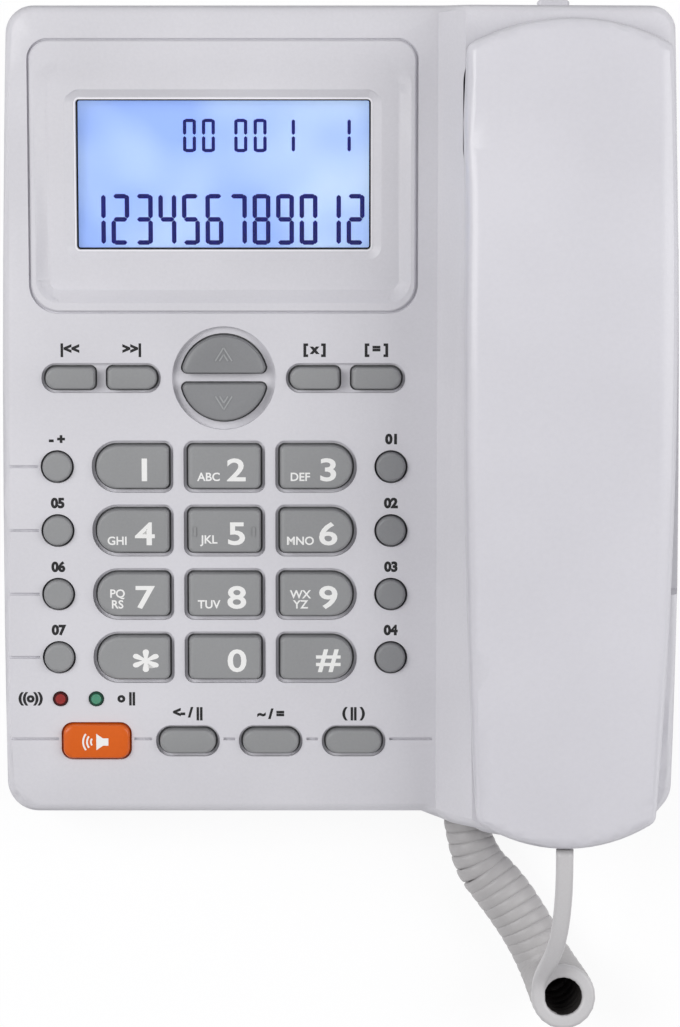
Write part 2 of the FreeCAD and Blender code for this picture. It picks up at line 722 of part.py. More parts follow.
def function_outline(side):
    """Return the outline of a function cap, rounded at its left (-1) or right (1) end."""
    round_end = ROUND_END.format(height="pair_height")
    right = round_end if side > 0 else "key_square"
    left = round_end if side < 0 else "key_square"

    def draw(sketch, grow):
        slab(sketch, "pair_width", "pair_height", (right, right, left, left), grow)

    return draw


def speaker_outline(sketch, grow):
    """Draw the speaker cap."""
    slab(sketch, "speaker_width", "speaker_height", ["speaker_corner"] * 4, grow)


def memory_outline(sketch, grow):
    """Draw a round cap."""
    circle(sketch, f"memory_radius + ({grow})")


def half_outline(sign):
    """Return the outline of the rear (1) or the front (-1) half-round cap."""

    def draw(sketch, grow):
        radius = value(f"nav_radius + ({grow})")
        corner = value(f"nav_corner + ({grow})")
        chord = f"nav_bar / 2 - ({grow})"
        height = value("nav_bar / 2 + nav_corner")
        reach = math.sqrt((radius - corner) ** 2 - height ** 2)
        middle = Vector()
        right = Vector(reach, sign * height, 0)
        left = Vector(-reach, sign * height, 0)
        edge = Vector(0, -sign * corner, 0)
        if sign > 0:
            first, last = right, left
        else:
            first, last = left, right
        curves = [
            arc_through(first, corner, first + edge, touch(middle, radius, first)),
            arc_through(middle, radius, touch(middle, radius, first), touch(middle, radius, last)),
            arc_through(last, corner, touch(middle, radius, last), last + edge),
            Part.LineSegment(last + edge, first + edge),
        ]
        near, bow, far, straight = chain(sketch, curves)
        fix_point(sketch, bow, 3, "0", "0")
        dimension(sketch, "Radius", (bow,), f"nav_radius + ({grow})")
        for arc in (near, far):
            dimension(sketch, "Radius", (arc,), f"nav_corner + ({grow})")
        sketch.addConstraint(Sketcher.Constraint("Horizontal", straight))
        ends = (-1, 1, straight, 1) if sign > 0 else (straight, 1, -1, 1)
        dimension(sketch, "DistanceY", ends, chord)

    return draw


LOWER_OUTLINE = stadium_outline("lower_width", "lower_height")
FUNCTION_KEYS = (("back_key", "out_key"), ("delete_key", "memo_key"))
DIGITS = ("1", "2", "3", "4", "5", "6", "7", "8", "9", "star", "0", "hash")


def list_keys():
    """Return each key's label, outline, size if it is straight-sided, and place on the deck."""
    keys = []
    keypad = ("key_width", "key_height")
    pair = ("pair_width", "pair_height")
    lower = ("lower_width", "lower_height")
    speaker = ("speaker_width", "speaker_height")
    for number, name in enumerate(DIGITS):
        row_number, column = divmod(number, 3)
        u = f"keypad_u + {column - 1} * column_pitch"
        v = f"first_row - {row_number} * row_pitch"
        keys.append(("key_" + name, keypad_outline(column - 1), keypad, u, v))
    for number in range(8):
        u = "memory_right" if number < 4 else "memory_left"
        label = "volume_key" if number == 4 else f"memory_key_{number + 1 - (number > 4)}"
        keys.append((label, memory_outline, None, u, f"first_row - {number % 4} * row_pitch"))
    for label, sign in (("up_key", 1), ("down_key", -1)):
        keys.append((label, half_outline(sign), None, "keypad_u", "nav_v"))
    for middle, labels in zip(("pair_left", "pair_right"), FUNCTION_KEYS):
        for label, side in zip(labels, (-1, 1)):
            u = f"{middle} + {side} * pair_pitch / 2"
            keys.append((label, function_outline(side), pair, u, "nav_v"))
    for number, label in enumerate(("redial_key", "flash_key", "hold_key")):
        keys.append((label, LOWER_OUTLINE, lower, f"lower_first + {number} * lower_pitch", "lower_v"))
    keys.append(("speaker_key", speaker_outline, speaker, "speaker_u", "lower_v"))
    return keys


KEYS = list_keys()
KEY_ROOT = "(deck_wall + flange_gap + flange_wall)"


def make_key(label, outline, size, u, v):
    """Make one cap with its retaining flange."""
    body = new_body(label)
    place_on_deck(body, u, v)
    cap = add_sketch(body, at=("0", "0", f"-{KEY_ROOT}"))
    outline(cap, "0")
    extrude(body, "Pad", cap, f"{KEY_ROOT} + key_proud")
    flange = add_sketch(body, at=("0", "0", f"-{KEY_ROOT}"))
    if size:
        right, rear = (f"({length} / 2 + key_flange)" for length in size)
        rectangle(flange, f"-{right}", f"-{rear}", right, rear)
    else:
        outline(flange, "key_flange")
    extrude(body, "Pad", flange, "flange_wall")
    ease_edges(body, "key_edge", edge_at(value("key_proud")))
    return body


def sink(body, u, v, draw, depth):
    """Add the space that an outline sinks below the deck, and return its sketch and feature."""
    sketch = add_sketch(body, at=(u, v, "deck_wall"))
    draw(sketch)
    return sketch, extrude(body, "Pad", sketch, f"deck_wall + {depth}", back=True)


THROUGH = "3 * deck_wall"


def add_key_openings(body):
    """Add the windows of all the keys and the recesses round them."""

    def opening(outline, grow, depth, u, v):
        return sink(body, u, v, lambda sketch: outline(sketch, grow), depth)

    for column in (-1, 0, 1):
        u = f"keypad_u + {column} * column_pitch"
        for grow, depth in (("key_recess", "recess_depth"), ("key_gap", THROUGH)):
            sketch, feature = opening(keypad_outline(column), grow, depth, u, "first_row")
            repeat(body, feature, sketch, "V_Axis", "row_pitch", 4, back=True)
    for u in ("memory_left", "memory_right"):
        sketch, feature = opening(memory_outline, "key_gap", THROUGH, u, "first_row")
        repeat(body, feature, sketch, "V_Axis", "row_pitch", 4, back=True)
    sink(body, "keypad_u", "nav_v", lambda sketch: circle(sketch, "nav_recess"), "recess_depth")
    for sign in (1, -1):
        opening(half_outline(sign), "key_gap", THROUGH, "keypad_u", "nav_v")
    for u in ("pair_left", "pair_right"):
        trough = stadium_outline("(pair_width + pair_pitch)", "pair_height")
        opening(trough, "pair_recess", "recess_depth", u, "nav_v")
        for side in (-1, 1):
            opening(function_outline(side), "key_gap", THROUGH, f"{u} + {side} * pair_pitch / 2", "nav_v")
    for grow, depth in (("lower_recess", "recess_depth"), ("key_gap", THROUGH)):
        sketch, feature = opening(LOWER_OUTLINE, grow, depth, "lower_first", "lower_v")
        repeat(body, feature, sketch, "H_Axis", "lower_pitch", 3)
    opening(speaker_outline, "key_gap", THROUGH, "speaker_u", "lower_v")
    for u in ("ring_lamp_u", "use_lamp_u"):
        sink(body, u, "lamp_v", lambda sketch: circle(sketch, "lamp_radius + fit_gap"), THROUGH)


# Top housing


def outer_edges(shape, edge):
    """Pick the edges between the upright walls and what faces up."""
    upward = Vector(0, value("sin(deck_tilt)"), value("cos(deck_tilt)"))
    slopes = []
    for face in shape.ancestorsOfType(edge, Part.Face):
        first, last, low, high = face.ParameterRange
        slopes.append(face.normalAt((first + last) / 2, (low + high) / 2).dot(upward))
    return min(abs(slope) for slope in slopes) < 1e-4 and max(slopes) > 0.3


def screw_places():
    """Return the housing screws: x, y and how far their ceiling lies below the deck."""
    front = "-front_edge + screw_in"
    rear = "base_length - front_edge - screw_in"
    return (
        ("-screw_left", front, "0"),
        ("screw_front_right", front, "0"),
        ("-screw_left", rear, "0"),
        ("screw_rear_right", rear, "0"),
        ("handset_u", "0", "saddle_drop"),
    )


REAR_WALL = "(base_length - front_edge)"
WELL_FLOOR = "(ear_drop + seat_gap)"
BOARD_TOP = "(sheet_drop + sheet_wall)"
HEAD_SEAT = "(foot_height + screw_sink + screw_head_wall)"
POST_PLACES = [(f"keypad_u {sign} post_span / 2", v) for sign in "+-" for v in ("post_rear", "post_front")]


def deck_box(name, size, u, v, w):
    """Return a box in the deck frame, from its left front lower corner."""
    item = box(name, size, "0", "0", "0")
    place_on_deck(item, u, v, w)
    return item


def deck_cylinder(name, radius, height, u, v, w):
    """Return a cylinder that stands square on the deck."""
    item = cylinder(name, radius, height)
    place_on_deck(item, u, v, w)
    return item


def add_grooves(body):
    """Add the lines that run from the left edge to the round keys and along the lower keys."""

    def line(v, left, right):
        edges = (left, "-groove_width / 2", right, "groove_width / 2")
        return sink(body, "0", v, lambda sketch: rectangle(sketch, *edges), "groove_depth")

    sketch, feature = line("first_row", f"-{FAR}", "memory_left - memory_radius - groove_end")
    repeat(body, feature, sketch, "V_Axis", "row_pitch", 4, back=True)
    speaker = "(speaker_width / 2 + groove_end)"
    lower = "(lower_width / 2 + lower_recess + groove_end)"
    stops = (
        (f"-{FAR}", f"speaker_u - {speaker}"),
        (f"speaker_u + {speaker}", f"lower_first - {lower}"),
        (f"lower_first + {lower}", f"lower_first + lower_pitch - {lower}"),
        (f"lower_first + lower_pitch + {lower}", f"lower_first + 2 * lower_pitch - {lower}"),
        (f"lower_first + 2 * lower_pitch + {lower}", "crease - groove_end"),
    )
    for left, right in stops:
        line("groove_v", left, right)


BEZEL_ROUNDS = ("bezel_lower", "bezel_upper", "bezel_upper", "bezel_lower")


def add_bezel_seat(body):
    """Add the seat of the bezel's flange and the opening inside it."""

    def seat(grow, depth):
        draw = lambda sketch: slab(sketch, "bezel_width", "bezel_height", BEZEL_ROUNDS, grow)
        sink(body, "keypad_u", "bezel_v", draw, depth)

    seat("fit_gap", "bezel_flange")
    seat("fit_gap - bezel_lip", THROUGH)


def screw_boss(number, x, y, drop):
    """Return a hollow boss from the floor's pillar to the ceiling."""
    deck = f"front_height + (({y}) + front_edge) * tan(deck_tilt)"
    ceiling = f"{deck} - (({drop}) + boss_cover) / cos(deck_tilt)"
    post = cylinder(f"boss_{number}", "boss_radius", f"{ceiling} - pillar_height", x, y, "pillar_height")
    low = f"{HEAD_SEAT} + fit_gap"
    bore = cylinder(f"boss_bore_{number}", "screw_shank + fit_gap / 2", "screw_length", x, y, low)
    return cut(f"boss_hollow_{number}", post, bore)


def make_top_housing():
    """Make the moulded shell with the deck, the cradle and every opening."""
    outside = housing_block("housing_outside", "0", "0", "seam_height")
    ease_edges(outside, "edge_round", outer_edges)
    cut_cradle(outside, "0", "0")
    hook = add_sketch(outside, at=("handset_u", "hook_v", f"-{WELL_FLOOR} + 1"))
    slab(hook, "hook_width", "hook_height", ["hook_round"] * 4, "hook_gap")
    extrude(outside, "Pocket", hook, "3 * deck_wall")
    inside = housing_block("housing_inside", "side_wall", "deck_wall", "seam_height - 1")
    cut_cradle(inside, "deck_wall", "deck_wall")
    shell = cut("housing_shell", outside, inside)

    openings = new_body("deck_openings")
    place_on_deck(openings)
    add_bezel_seat(openings)
    add_key_openings(openings)
    add_grooves(openings)

    pieces = [shell]
    for number, (x, y, drop) in enumerate(screw_places()):
        pieces.append(screw_boss(number, x, y, drop))
    for number, (u, v) in enumerate(POST_PLACES):
        rise = f"{BOARD_TOP} - deck_wall / 2"
        pieces.append(deck_cylinder(f"post_{number}", "post_radius", rise, u, v, f"-{BOARD_TOP}"))
        pin = f"{BOARD_TOP} + board_wall + 1"
        pieces.append(deck_cylinder(f"pin_{number}", "post_pin", f"{pin} - deck_wall", u, v, f"-({pin})"))
    rib = "deck_wall"
    top = f"({WELL_FLOOR} + deck_wall / 2)"
    for side in ("-", "+"):
        offset = f"handset_u {side} (switch_width / 2 + fit_gap)" + (f" - {rib}" if side == "-" else "")
        size = (rib, "switch_depth", f"{HOOK_SWITCH_TOP} + switch_height - {top}")
        low = f"-({HOOK_SWITCH_TOP} + switch_height)"
        pieces.append(deck_box("hook_rib", size, offset, "hook_v - switch_depth / 2", low))
    rail = "rail_wall"
    for side, shift in (("+", "0"), ("-", rail)):
        level = f"knob_z {side} (knob_height / 2 + slider_lap + fit_gap) - {shift}"
        size = ("knob_width + 4 * slider_lap + 2 * knob_travel", f"slider_room + side_wall / 2", rail)
        left = "knob_u - knob_width / 2 - 2 * slider_lap - knob_travel"
        pieces.append(box("rail", size, left, f"{REAR_WALL} - side_wall - slider_room", level))
    solid = fuse("housing_with_bosses", pieces)

    knob = ("knob_width + 2 * knob_travel + 2 * fit_gap", "3 * side_wall", "knob_height + 2 * fit_gap")
    slot = box(
        "knob_slot",
        knob,
        "knob_u - knob_width / 2 - knob_travel - fit_gap",
        f"{REAR_WALL} - 1.5 * side_wall",
        "knob_z - knob_height / 2 - fit_gap",
    )
    mouth = box(
        "line_mouth",
        ("line_width + 2 * fit_gap", "3 * side_wall", "line_height + 2 * fit_gap"),
        "line_u - line_width / 2 - fit_gap",
        f"{REAR_WALL} - 1.5 * side_wall",
        "line_z - line_height / 2 - fit_gap",
    )
    half = "(tunnel_width / 2 + tunnel_wall + fit_gap)"
    notch = box(
        "tunnel_notch",
        (f"2 * {half}", "front_edge + 2 * bulge_depth - tunnel_end", "tunnel_top + tunnel_wall + fit_gap"),
        f"tunnel_u - {half}",
        "-front_edge - 2 * bulge_depth",
        "0",
    )
    return cut("top_housing", solid, together("housing_cuts", [openings, slot, mouth, notch]))


# Bottom housing, feet and screws


def make_bottom_housing():
    """Make the tray with its cord tunnel, pillars, speaker slots and seats."""
    tray = new_body("tray")
    plan = add_sketch(tray, at=("0", "0", "foot_height"))
    base_outline(plan, "0")
    extrude(tray, "Pad", plan, "seam_height - foot_height")
    ease_edges(tray, "tray_round", edge_at(value("foot_height")))
    room = add_sketch(tray, at=("0", "0", "seam_height"))
    base_outline(room, "side_wall")
    extrude(tray, "Pocket", room, "seam_height - foot_height - floor_wall")
    tongue = add_sketch(tray, at=("0", "0", "foot_height + floor_wall / 2"))
    base_outline(tongue, "side_wall + fit_gap")
    base_outline(tongue, "side_wall + fit_gap + tongue_wall")
    extrude(tray, "Pad", tongue, "seam_height + tongue_height - foot_height - floor_wall / 2")

    floor_top = "(foot_height + floor_wall)"
    prism = new_body("tunnel_prism")
    front = add_sketch(prism, at=("0", "0", "foot_height"))
    base_outline(front, "0")
    extrude(prism, "Pad", front, "tunnel_top + tunnel_wall - foot_height")
    half = "(tunnel_width / 2 + tunnel_wall)"
    limits = box(
        "tunnel_limits",
        (
            f"2 * {half}",
            "front_edge + 2 * bulge_depth - tunnel_end + tunnel_wall",
            "seam_height + tunnel_top",
        ),
        f"tunnel_u - {half}",
        "-front_edge - 2 * bulge_depth",
        "0",
    )
    pieces = [tray, common("tunnel_block", prism, limits)]
    cuts = []
    for x, y, _ in screw_places():
        height = "pillar_height - foot_height - floor_wall / 2"
        pieces.append(cylinder("pillar", "pillar_radius", height, x, y, "foot_height + floor_wall / 2"))
        cuts.append(cylinder("screw_hole", "screw_shank + fit_gap", "pillar_height", x, y, "foot_height"))
        sunk = f"{HEAD_SEAT} - foot_height"
        cuts.append(cylinder("head_hole", "screw_head + fit_gap", sunk, x, y, "foot_height"))
    centre = ("speaker_x", "speaker_y", floor_top)
    ring = cylinder("cone_ring", "cone_radius + fit_gap + tongue_wall", "cone_rim", *centre)
    hole = cylinder("cone_hole", "cone_radius + fit_gap", "2 * cone_rim", *centre)
    pieces.append(cut("cone_seat", ring, hole))
    shelf = f"line_z - line_height / 2 - jack_wall - {floor_top}"
    width = "line_width + 2 * jack_wall"
    rear = f"{REAR_WALL} - side_wall - fit_gap - tongue_wall - line_depth / 2"
    pieces.append(box("shelf", (width, "line_depth / 2", shelf), f"line_u - ({width}) / 2", rear, floor_top))

    for x, y in FOOT_PLACES:
        cuts.append(cylinder("foot_seat", "foot_radius + fit_gap", "foot_inset", x, y, "foot_height"))
    channel = (
        "tunnel_width",
        "front_edge + 2 * bulge_depth - tunnel_end",
        "tunnel_top",
    )
    cuts.append(box("channel", channel, "tunnel_u - tunnel_width / 2", "-front_edge - 2 * bulge_depth", "0"))
    window = ("plug_width + 2 * fit_gap", "4 * tunnel_wall", "plug_height + 2 * fit_gap")
    cuts.append(
        box(
            "plug_window",
            window,
            "tunnel_u - plug_width / 2 - fit_gap",
            "-tunnel_end - tunnel_wall",
            "base_plug_z - plug_height / 2 - fit_gap",
        )
    )
    slots = new_body("slots")
    slot = add_sketch(slots, at=("speaker_x - 3 * slot_pitch", "speaker_y", "0"))
    slab(slot, "slot_width", "cone_radius + slot_width", ["(slot_width - end_flat) / 2"] * 4)
    first = extrude(slots, "Pad", slot, "seam_height")
    repeat(slots, first, slot, "H_Axis", "slot_pitch", 7)
    cuts.append(slots)
    return cut("bottom_housing", fuse("tray_with_pillars", pieces), fuse("tray_cuts", cuts))


FOOT_PLACES = [(x, y) for x in ("-foot_side", "foot_side") for y in ("-foot_front", "foot_rear")]


def make_feet():
    """Make the four rubber feet."""
    feet = []
    for x, y in FOOT_PLACES:
        foot = DOC.addObject("Part::Cone", "foot")
        drive(foot, "Radius1", "foot_radius - foot_draft")
        drive(foot, "Radius2", "foot_radius")
        drive(foot, "Height", "foot_height + foot_inset")
        place(foot, x, y)
        feet.append(foot)
    return together("rubber_feet", feet)


def make_screw(name, head_low, x, y):
    """Return one upright screw, its head below."""
    head = cylinder(name + "_head", "screw_head", "screw_head_wall", x, y, head_low)
    shank = cylinder(name + "_shank", "screw_shank", "screw_length", x, y, f"{head_low} + screw_head_wall")
    return fuse(name, [head, shank])


def make_housing_screws():
    """Make the screws that hold the two housings together."""
    screws = []
    for number, (x, y, _) in enumerate(screw_places()):
        screws.append(make_screw(f"screw_{number}", "(foot_height + screw_sink)", x, y))
    return together("housing_screws", screws)


# Display


def make_bezel():
    """Make the display surround with its dished face and bevelled window."""
    body = new_body("display_bezel")
    place_on_deck(body, "keypad_u", "bezel_v")
    flange = add_sketch(body, at=("0", "0", "-bezel_flange"))
    slab(flange, "bezel_width", "bezel_height", BEZEL_ROUNDS)
    extrude(body, "Pad", flange, "bezel_flange + bezel_proud")
    ease_edges(body, "bezel_proud", edge_at(value("bezel_proud")))
    frame = add_sketch(body, at=("0", "0", "-bezel_depth"))
    slab(frame, "bezel_width", "bezel_height", BEZEL_ROUNDS, "-bezel_lip")
    extrude(body, "Pad", frame, "bezel_depth - bezel_flange / 2")

    width = "(bezel_width - 2 * dish_side)"
    height = "(bezel_height - dish_front - dish_rear)"
    middle = "((dish_front - dish_rear) / 2)"
    top = add_sketch(body, at=("0", "0", "bezel_proud"))
    slab(top, width, height, ["dish_round"] * 4, "0", "0", middle)
    floor = add_sketch(body, at=("0", middle, "-dish_middle"), tilt="dish_tilt")
    slab(floor, width, height, ["dish_round"] * 4, "-dish_wall")
    loft_cut(body, top, floor)
    outer = add_sketch(body, at=("0", "window_shift", "-dish_middle + fit_gap"), tilt="dish_tilt")
    slab(outer, "window_width", "window_height", ["window_round"] * 4, "window_bevel")
    inner = add_sketch(body, at=("0", "window_shift", "-dish_middle - bevel_depth"), tilt="dish_tilt")
    slab(inner, "window_width", "window_height", ["window_round"] * 4, "-window_lip")
    loft_cut(body, outer, inner)
    window = add_sketch(body, at=("0", "window_shift", "0"))
    slab(window, "window_width", "window_height", ["window_round"] * 4)
    extrude(body, "Pocket", window, "2 * bezel_depth")
    seat = add_sketch(body, at=("0", "window_shift", "-lens_top"))
    slab(seat, "window_width", "window_height", ["window_round"] * 4, "lens_lap + fit_gap")
    extrude(body, "Pocket", seat, "2 * bezel_depth")
    return body


def make_layer(label, top, wall, shrink):
    """Make one flat layer behind the display window."""
    body = new_body(label)
    place_on_deck(body, "keypad_u", "bezel_v + window_shift", f"-({top}) - ({wall})")
    plan = add_sketch(body)
    slab(plan, "window_width", "window_height", ["window_round"] * 4, f"lens_lap - ({shrink})")
    extrude(body, "Pad", plan, wall)
    return body


# Keypad electronics


BOARD_MIDDLE = "(board_front + board_rear) / 2"
BOARD_HEIGHT = "(board_rear - board_front)"


def make_board():
    """Make the circuit board under the keypad."""
    body = new_body("main_board")
    place_on_deck(body, "keypad_u", "0", f"-{BOARD_TOP} - board_wall")
    plan = add_sketch(body)
    slab(plan, "board_width", BOARD_HEIGHT, ["board_corner"] * 4, "0", "0", BOARD_MIDDLE)
    for u, v in POST_PLACES:
        circle(plan, "post_pin + fit_gap / 2", f"{u} - keypad_u", v)
    extrude(body, "Pad", plan, "board_wall")
    return body


def make_membrane():
    """Make the rubber sheet with a raised pad under every key."""
    body = new_body("keypad_membrane")
    place_on_deck(body, "0", "0", f"-{BOARD_TOP}")
    plan = add_sketch(body)
    size = ("board_width - 2 * sheet_inset", f"{BOARD_HEIGHT} - 2 * sheet_inset")
    slab(plan, *size, ["board_corner"] * 4, "0", "keypad_u", BOARD_MIDDLE)
    for u, v in POST_PLACES:
        circle(plan, "post_radius + 2 * fit_gap", u, v)
    for u in ("ring_lamp_u", "use_lamp_u"):
        circle(plan, "lamp_radius + lamp_foot + 2 * fit_gap", u, "lamp_v")
    extrude(body, "Pad", plan, "sheet_wall")
    rise = f"sheet_drop - {KEY_ROOT} - pad_gap"
    half = "pad_width / 2"

    def pad(u, v, axis="V_Axis", pitch="row_pitch", count=1):
        sketch = add_sketch(body, at=(u, v, "sheet_wall"))
        rectangle(sketch, f"-{half}", f"-{half}", half, half)
        feature = extrude(body, "Pad", sketch, rise)
        if count > 1:
            repeat(body, feature, sketch, axis, pitch, count, back=axis == "V_Axis")

    columns = [f"keypad_u + {column} * column_pitch" for column in (-1, 0, 1)]
    for u in columns + ["memory_left", "memory_right"]:
        pad(u, "first_row", count=4)
    for sign in "+-":
        pad("keypad_u", f"nav_v {sign} nav_radius / 2")
    for u in ("pair_left", "pair_right"):
        pad(f"{u} - pair_pitch / 2", "nav_v", "H_Axis", "pair_pitch", 2)
    pad("lower_first", "lower_v", "H_Axis", "lower_pitch", 3)
    pad("speaker_u", "lower_v")
    return body


def make_lamp(label, u):
    """Make one lamp, from the board to a round tip above the deck."""
    body = new_body(label)
    place_on_deck(body, u, "lamp_v", f"-{BOARD_TOP}")
    stem = add_sketch(body)
    circle(stem, "lamp_radius")
    extrude(body, "Pad", stem, f"{BOARD_TOP} + lamp_proud")
    foot = add_sketch(body)
    circle(foot, "lamp_radius + lamp_foot")
    extrude(body, "Pad", foot, f"{BOARD_TOP} - deck_wall - flange_gap")
    tip = value(f"{BOARD_TOP} + lamp_proud")
    ease_edges(body, "lamp_proud", edge_at(tip))
    return body


# Hook, ringer, jacks and loudspeaker

HOOK_LOW = f"({WELL_FLOOR} + deck_wall + hook_travel + seat_gap + hook_flange)"
HOOK_SWITCH_TOP = f"({HOOK_LOW} + hook_clear)"


def make_hook_plunger():
    """Make the plunger that the ear cup presses."""
    body = new_body("hook_plunger")
    place_on_deck(body, "handset_u", "hook_v", f"-{HOOK_LOW}")
    cap = add_sketch(body)
    slab(cap, "hook_width", "hook_height", ["hook_round"] * 4)
    top = f"{HOOK_LOW} - ear_drop - hook_gap"
    extrude(body, "Pad", cap, top)
    flange = add_sketch(body)
    slab(flange, "hook_width", "hook_height", ["hook_round"] * 4, "hook_flange")
    extrude(body, "Pad", flange, "hook_flange")
    ease_edges(body, "hook_edge", edge_at(value(top)))
    return body


def make_hook_switch():
    """Make the switch under the plunger."""
    body = new_body("hook_switch")
    place_on_deck(body, "handset_u", "hook_v", f"-{HOOK_SWITCH_TOP} - switch_height")
    case = add_sketch(body)
    slab(case, "switch_width", "switch_depth", ["switch_round"] * 4)
    extrude(body, "Pad", case, "switch_height")
    button = add_sketch(body, at=("0", "0", "switch_height"))
    circle(button, "switch_button")
    extrude(body, "Pad", button, f"{HOOK_SWITCH_TOP} - {HOOK_LOW} - seat_gap")
    return body


def make_ringer_knob():
    """Make the slide knob that stands out of the rear wall."""
    body = new_body("ringer_knob")
    place(body, "knob_u", f"{REAR_WALL} - side_wall", "knob_z")
    knob = add_sketch(body, "XZ_Plane", at=("0", "0", "fit_gap"))
    slab(knob, "knob_width", "knob_height", ["knob_round"] * 4)
    extrude(body, "Pad", knob, "fit_gap + side_wall + knob_proud", back=True)
    plate = add_sketch(body, "XZ_Plane", at=("0", "0", "fit_gap"))
    slab(plate, "knob_width + 2 * slider_lap", "knob_height + 2 * slider_lap", ["knob_round"] * 4)
    extrude(body, "Pad", plate, "slider_wall")
    end = value("side_wall + knob_proud")

    def outer_end(shape, edge):
        return abs(edge.BoundBox.YMin - end) < 1e-4 and abs(edge.BoundBox.YMax - end) < 1e-4

    ease_edges(body, "knob_edge", outer_end)
    return body


def make_ringer_switch():
    """Make the switch body behind the knob, held between the housing's rails."""
    width = "knob_width + 2 * slider_lap + 2 * knob_travel"
    depth = f"slider_room - slider_wall - 2 * fit_gap - seat_gap"
    height = "knob_height + 2 * slider_lap"
    item = box(
        "ringer_switch",
        (width, depth, height),
        f"knob_u - ({width}) / 2",
        f"{REAR_WALL} - side_wall - slider_room",
        "knob_z - knob_height / 2 - slider_lap",
    )
    item.Label = "ringer_switch"
    return item


def make_line_jack():
    """Make the line jack, open to the rear."""
    width = "(line_width + 2 * jack_wall)"
    height = "(line_height + 2 * jack_wall)"
    rear = f"({REAR_WALL} - side_wall - fit_gap - tongue_wall)"
    depth = "(line_depth + jack_wall)"
    case = box(
        "line_case",
        (width, depth, height),
        f"line_u - {width} / 2",
        f"{rear} - {depth}",
        f"line_z - {height} / 2",
    )
    well = box(
        "line_well",
        ("line_width", "2 * line_depth", "line_height"),
        "line_u - line_width / 2",
        f"{rear} - line_depth",
        "line_z - line_height / 2",
    )
    return cut("line_jack", case, well)


def make_jack(name, depth):
    """Return a modular jack along y, its mouth at y = 0 and its middle at x = z = 0."""
    width = "(plug_width + 2 * fit_gap + 2 * jack_wall)"
    height = "(plug_height + 2 * fit_gap + 2 * jack_roof)"
    size = (width, f"{depth} + jack_wall", height)
    case = box(name + "_case", size, f"-{width} / 2", "0", f"-{height} / 2")
    well = box(
        name + "_well",
        ("plug_width + 2 * fit_gap", f"{depth} + 1", "plug_height + 2 * fit_gap"),
        "-plug_width / 2 - fit_gap",
        "-1",
        "-plug_height / 2 - fit_gap",
    )
    return cut(name, case, well)


def make_plug(label):
    """Return a modular plug along y, its cord end at y = 0 and its middle at x = z = 0."""
    size = ("plug_width", "plug_length", "plug_height")
    block = box(label + "_block", size, "-plug_width / 2", "0", "-plug_height / 2")
    contacts = box(
        label + "_step",
        ("plug_width - 2 * jack_roof", "plug_length / 4", "plug_height / 4"),
        "-plug_width / 2 + jack_roof",
        "plug_length * 0.8",
        "plug_height / 4",
    )
    return cut(label, block, contacts)


def make_loudspeaker():
    """Make the loudspeaker as a turned frame with its magnet."""
    body = new_body("loudspeaker")
    place(body, "speaker_x", "speaker_y", "foot_height + floor_wall + seat_gap / 2")
    for radius, low, high in (
        ("cone_radius", "0", "cone_rim"),
        ("basket_radius", "cone_rim / 2", "basket_height"),
        ("magnet_radius", "basket_height - cone_rim / 2", "cone_height"),
    ):
        sketch = add_sketch(body, at=("0", "0", low))
        circle(sketch, radius)
        extrude(body, "Pad", sketch, f"{high} - {low}")
    return body


# Handset


def handset_outline(sketch, inset):
    """Draw the plan of the handset, moved in by an inset, round its middle."""
    gap = value(inset)
    bow = value("handset_bow") - gap
    reach = value("handset_bow - handset_width / 2")
    left = Vector(reach, value("handset_widest"), 0)
    right = Vector(-reach, value("handset_widest"), 0)
    ear = Vector(0, value("handset_length / 2 - ear_end_radius"), 0)
    mouth = Vector(0, value("mouth_end_radius - handset_length / 2"), 0)
    ear_r = value("ear_end_radius") - gap
    mouth_r = value("mouth_end_radius") - gap
    small = value("handset_corner") - gap
    half = value("handset_width / 2")
    length = value("handset_length / 2")
    corners = []
    for side, end, end_r, sign_x, sign_y in (
        (right, mouth, mouth_r, 1, -1),
        (right, ear, ear_r, 1, 1),
        (left, ear, ear_r, -1, 1),
        (left, mouth, mouth_r, -1, -1),
    ):
        near = Vector(sign_x * half, sign_y * length, 0)
        corners.append(inside_tangent(side, bow - small, end, end_r - small, near))
    south_east, north_east, north_west, south_west = corners
    curves = [
        arc_through(south_east, small, touch(mouth, mouth_r, south_east), touch(right, bow, south_east)),
        arc_through(right, bow, touch(right, bow, south_east), touch(right, bow, north_east)),
        arc_through(north_east, small, touch(right, bow, north_east), touch(ear, ear_r, north_east)),
        arc_through(ear, ear_r, touch(ear, ear_r, north_east), touch(ear, ear_r, north_west)),
        arc_through(north_west, small, touch(ear, ear_r, north_west), touch(left, bow, north_west)),
        arc_through(left, bow, touch(left, bow, north_west), touch(left, bow, south_west)),
        arc_through(south_west, small, touch(left, bow, south_west), touch(mouth, mouth_r, south_west)),
        arc_through(mouth, mouth_r, touch(mouth, mouth_r, south_west), touch(mouth, mouth_r, south_east)),
    ]
    numbers = chain(sketch, curves)
    for arc in numbers[0::2]:
        dimension(sketch, "Radius", (arc,), f"handset_corner - ({inset})")
    for arc, sign in ((numbers[1], "-"), (numbers[5], "")):
        dimension(sketch, "Radius", (arc,), f"handset_bow - ({inset})")
        fix_point(sketch, arc, 3, f"{sign}(handset_bow - handset_width / 2)", "handset_widest")
    dimension(sketch, "Radius", (numbers[3],), f"ear_end_radius - ({inset})")
    fix_point(sketch, numbers[3], 3, "0", "handset_length / 2 - ear_end_radius")
    dimension(sketch, "Radius", (numbers[7],), f"mouth_end_radius - ({inset})")
    fix_point(sketch, numbers[7], 3, "0", "mouth_end_radius - handset_length / 2")


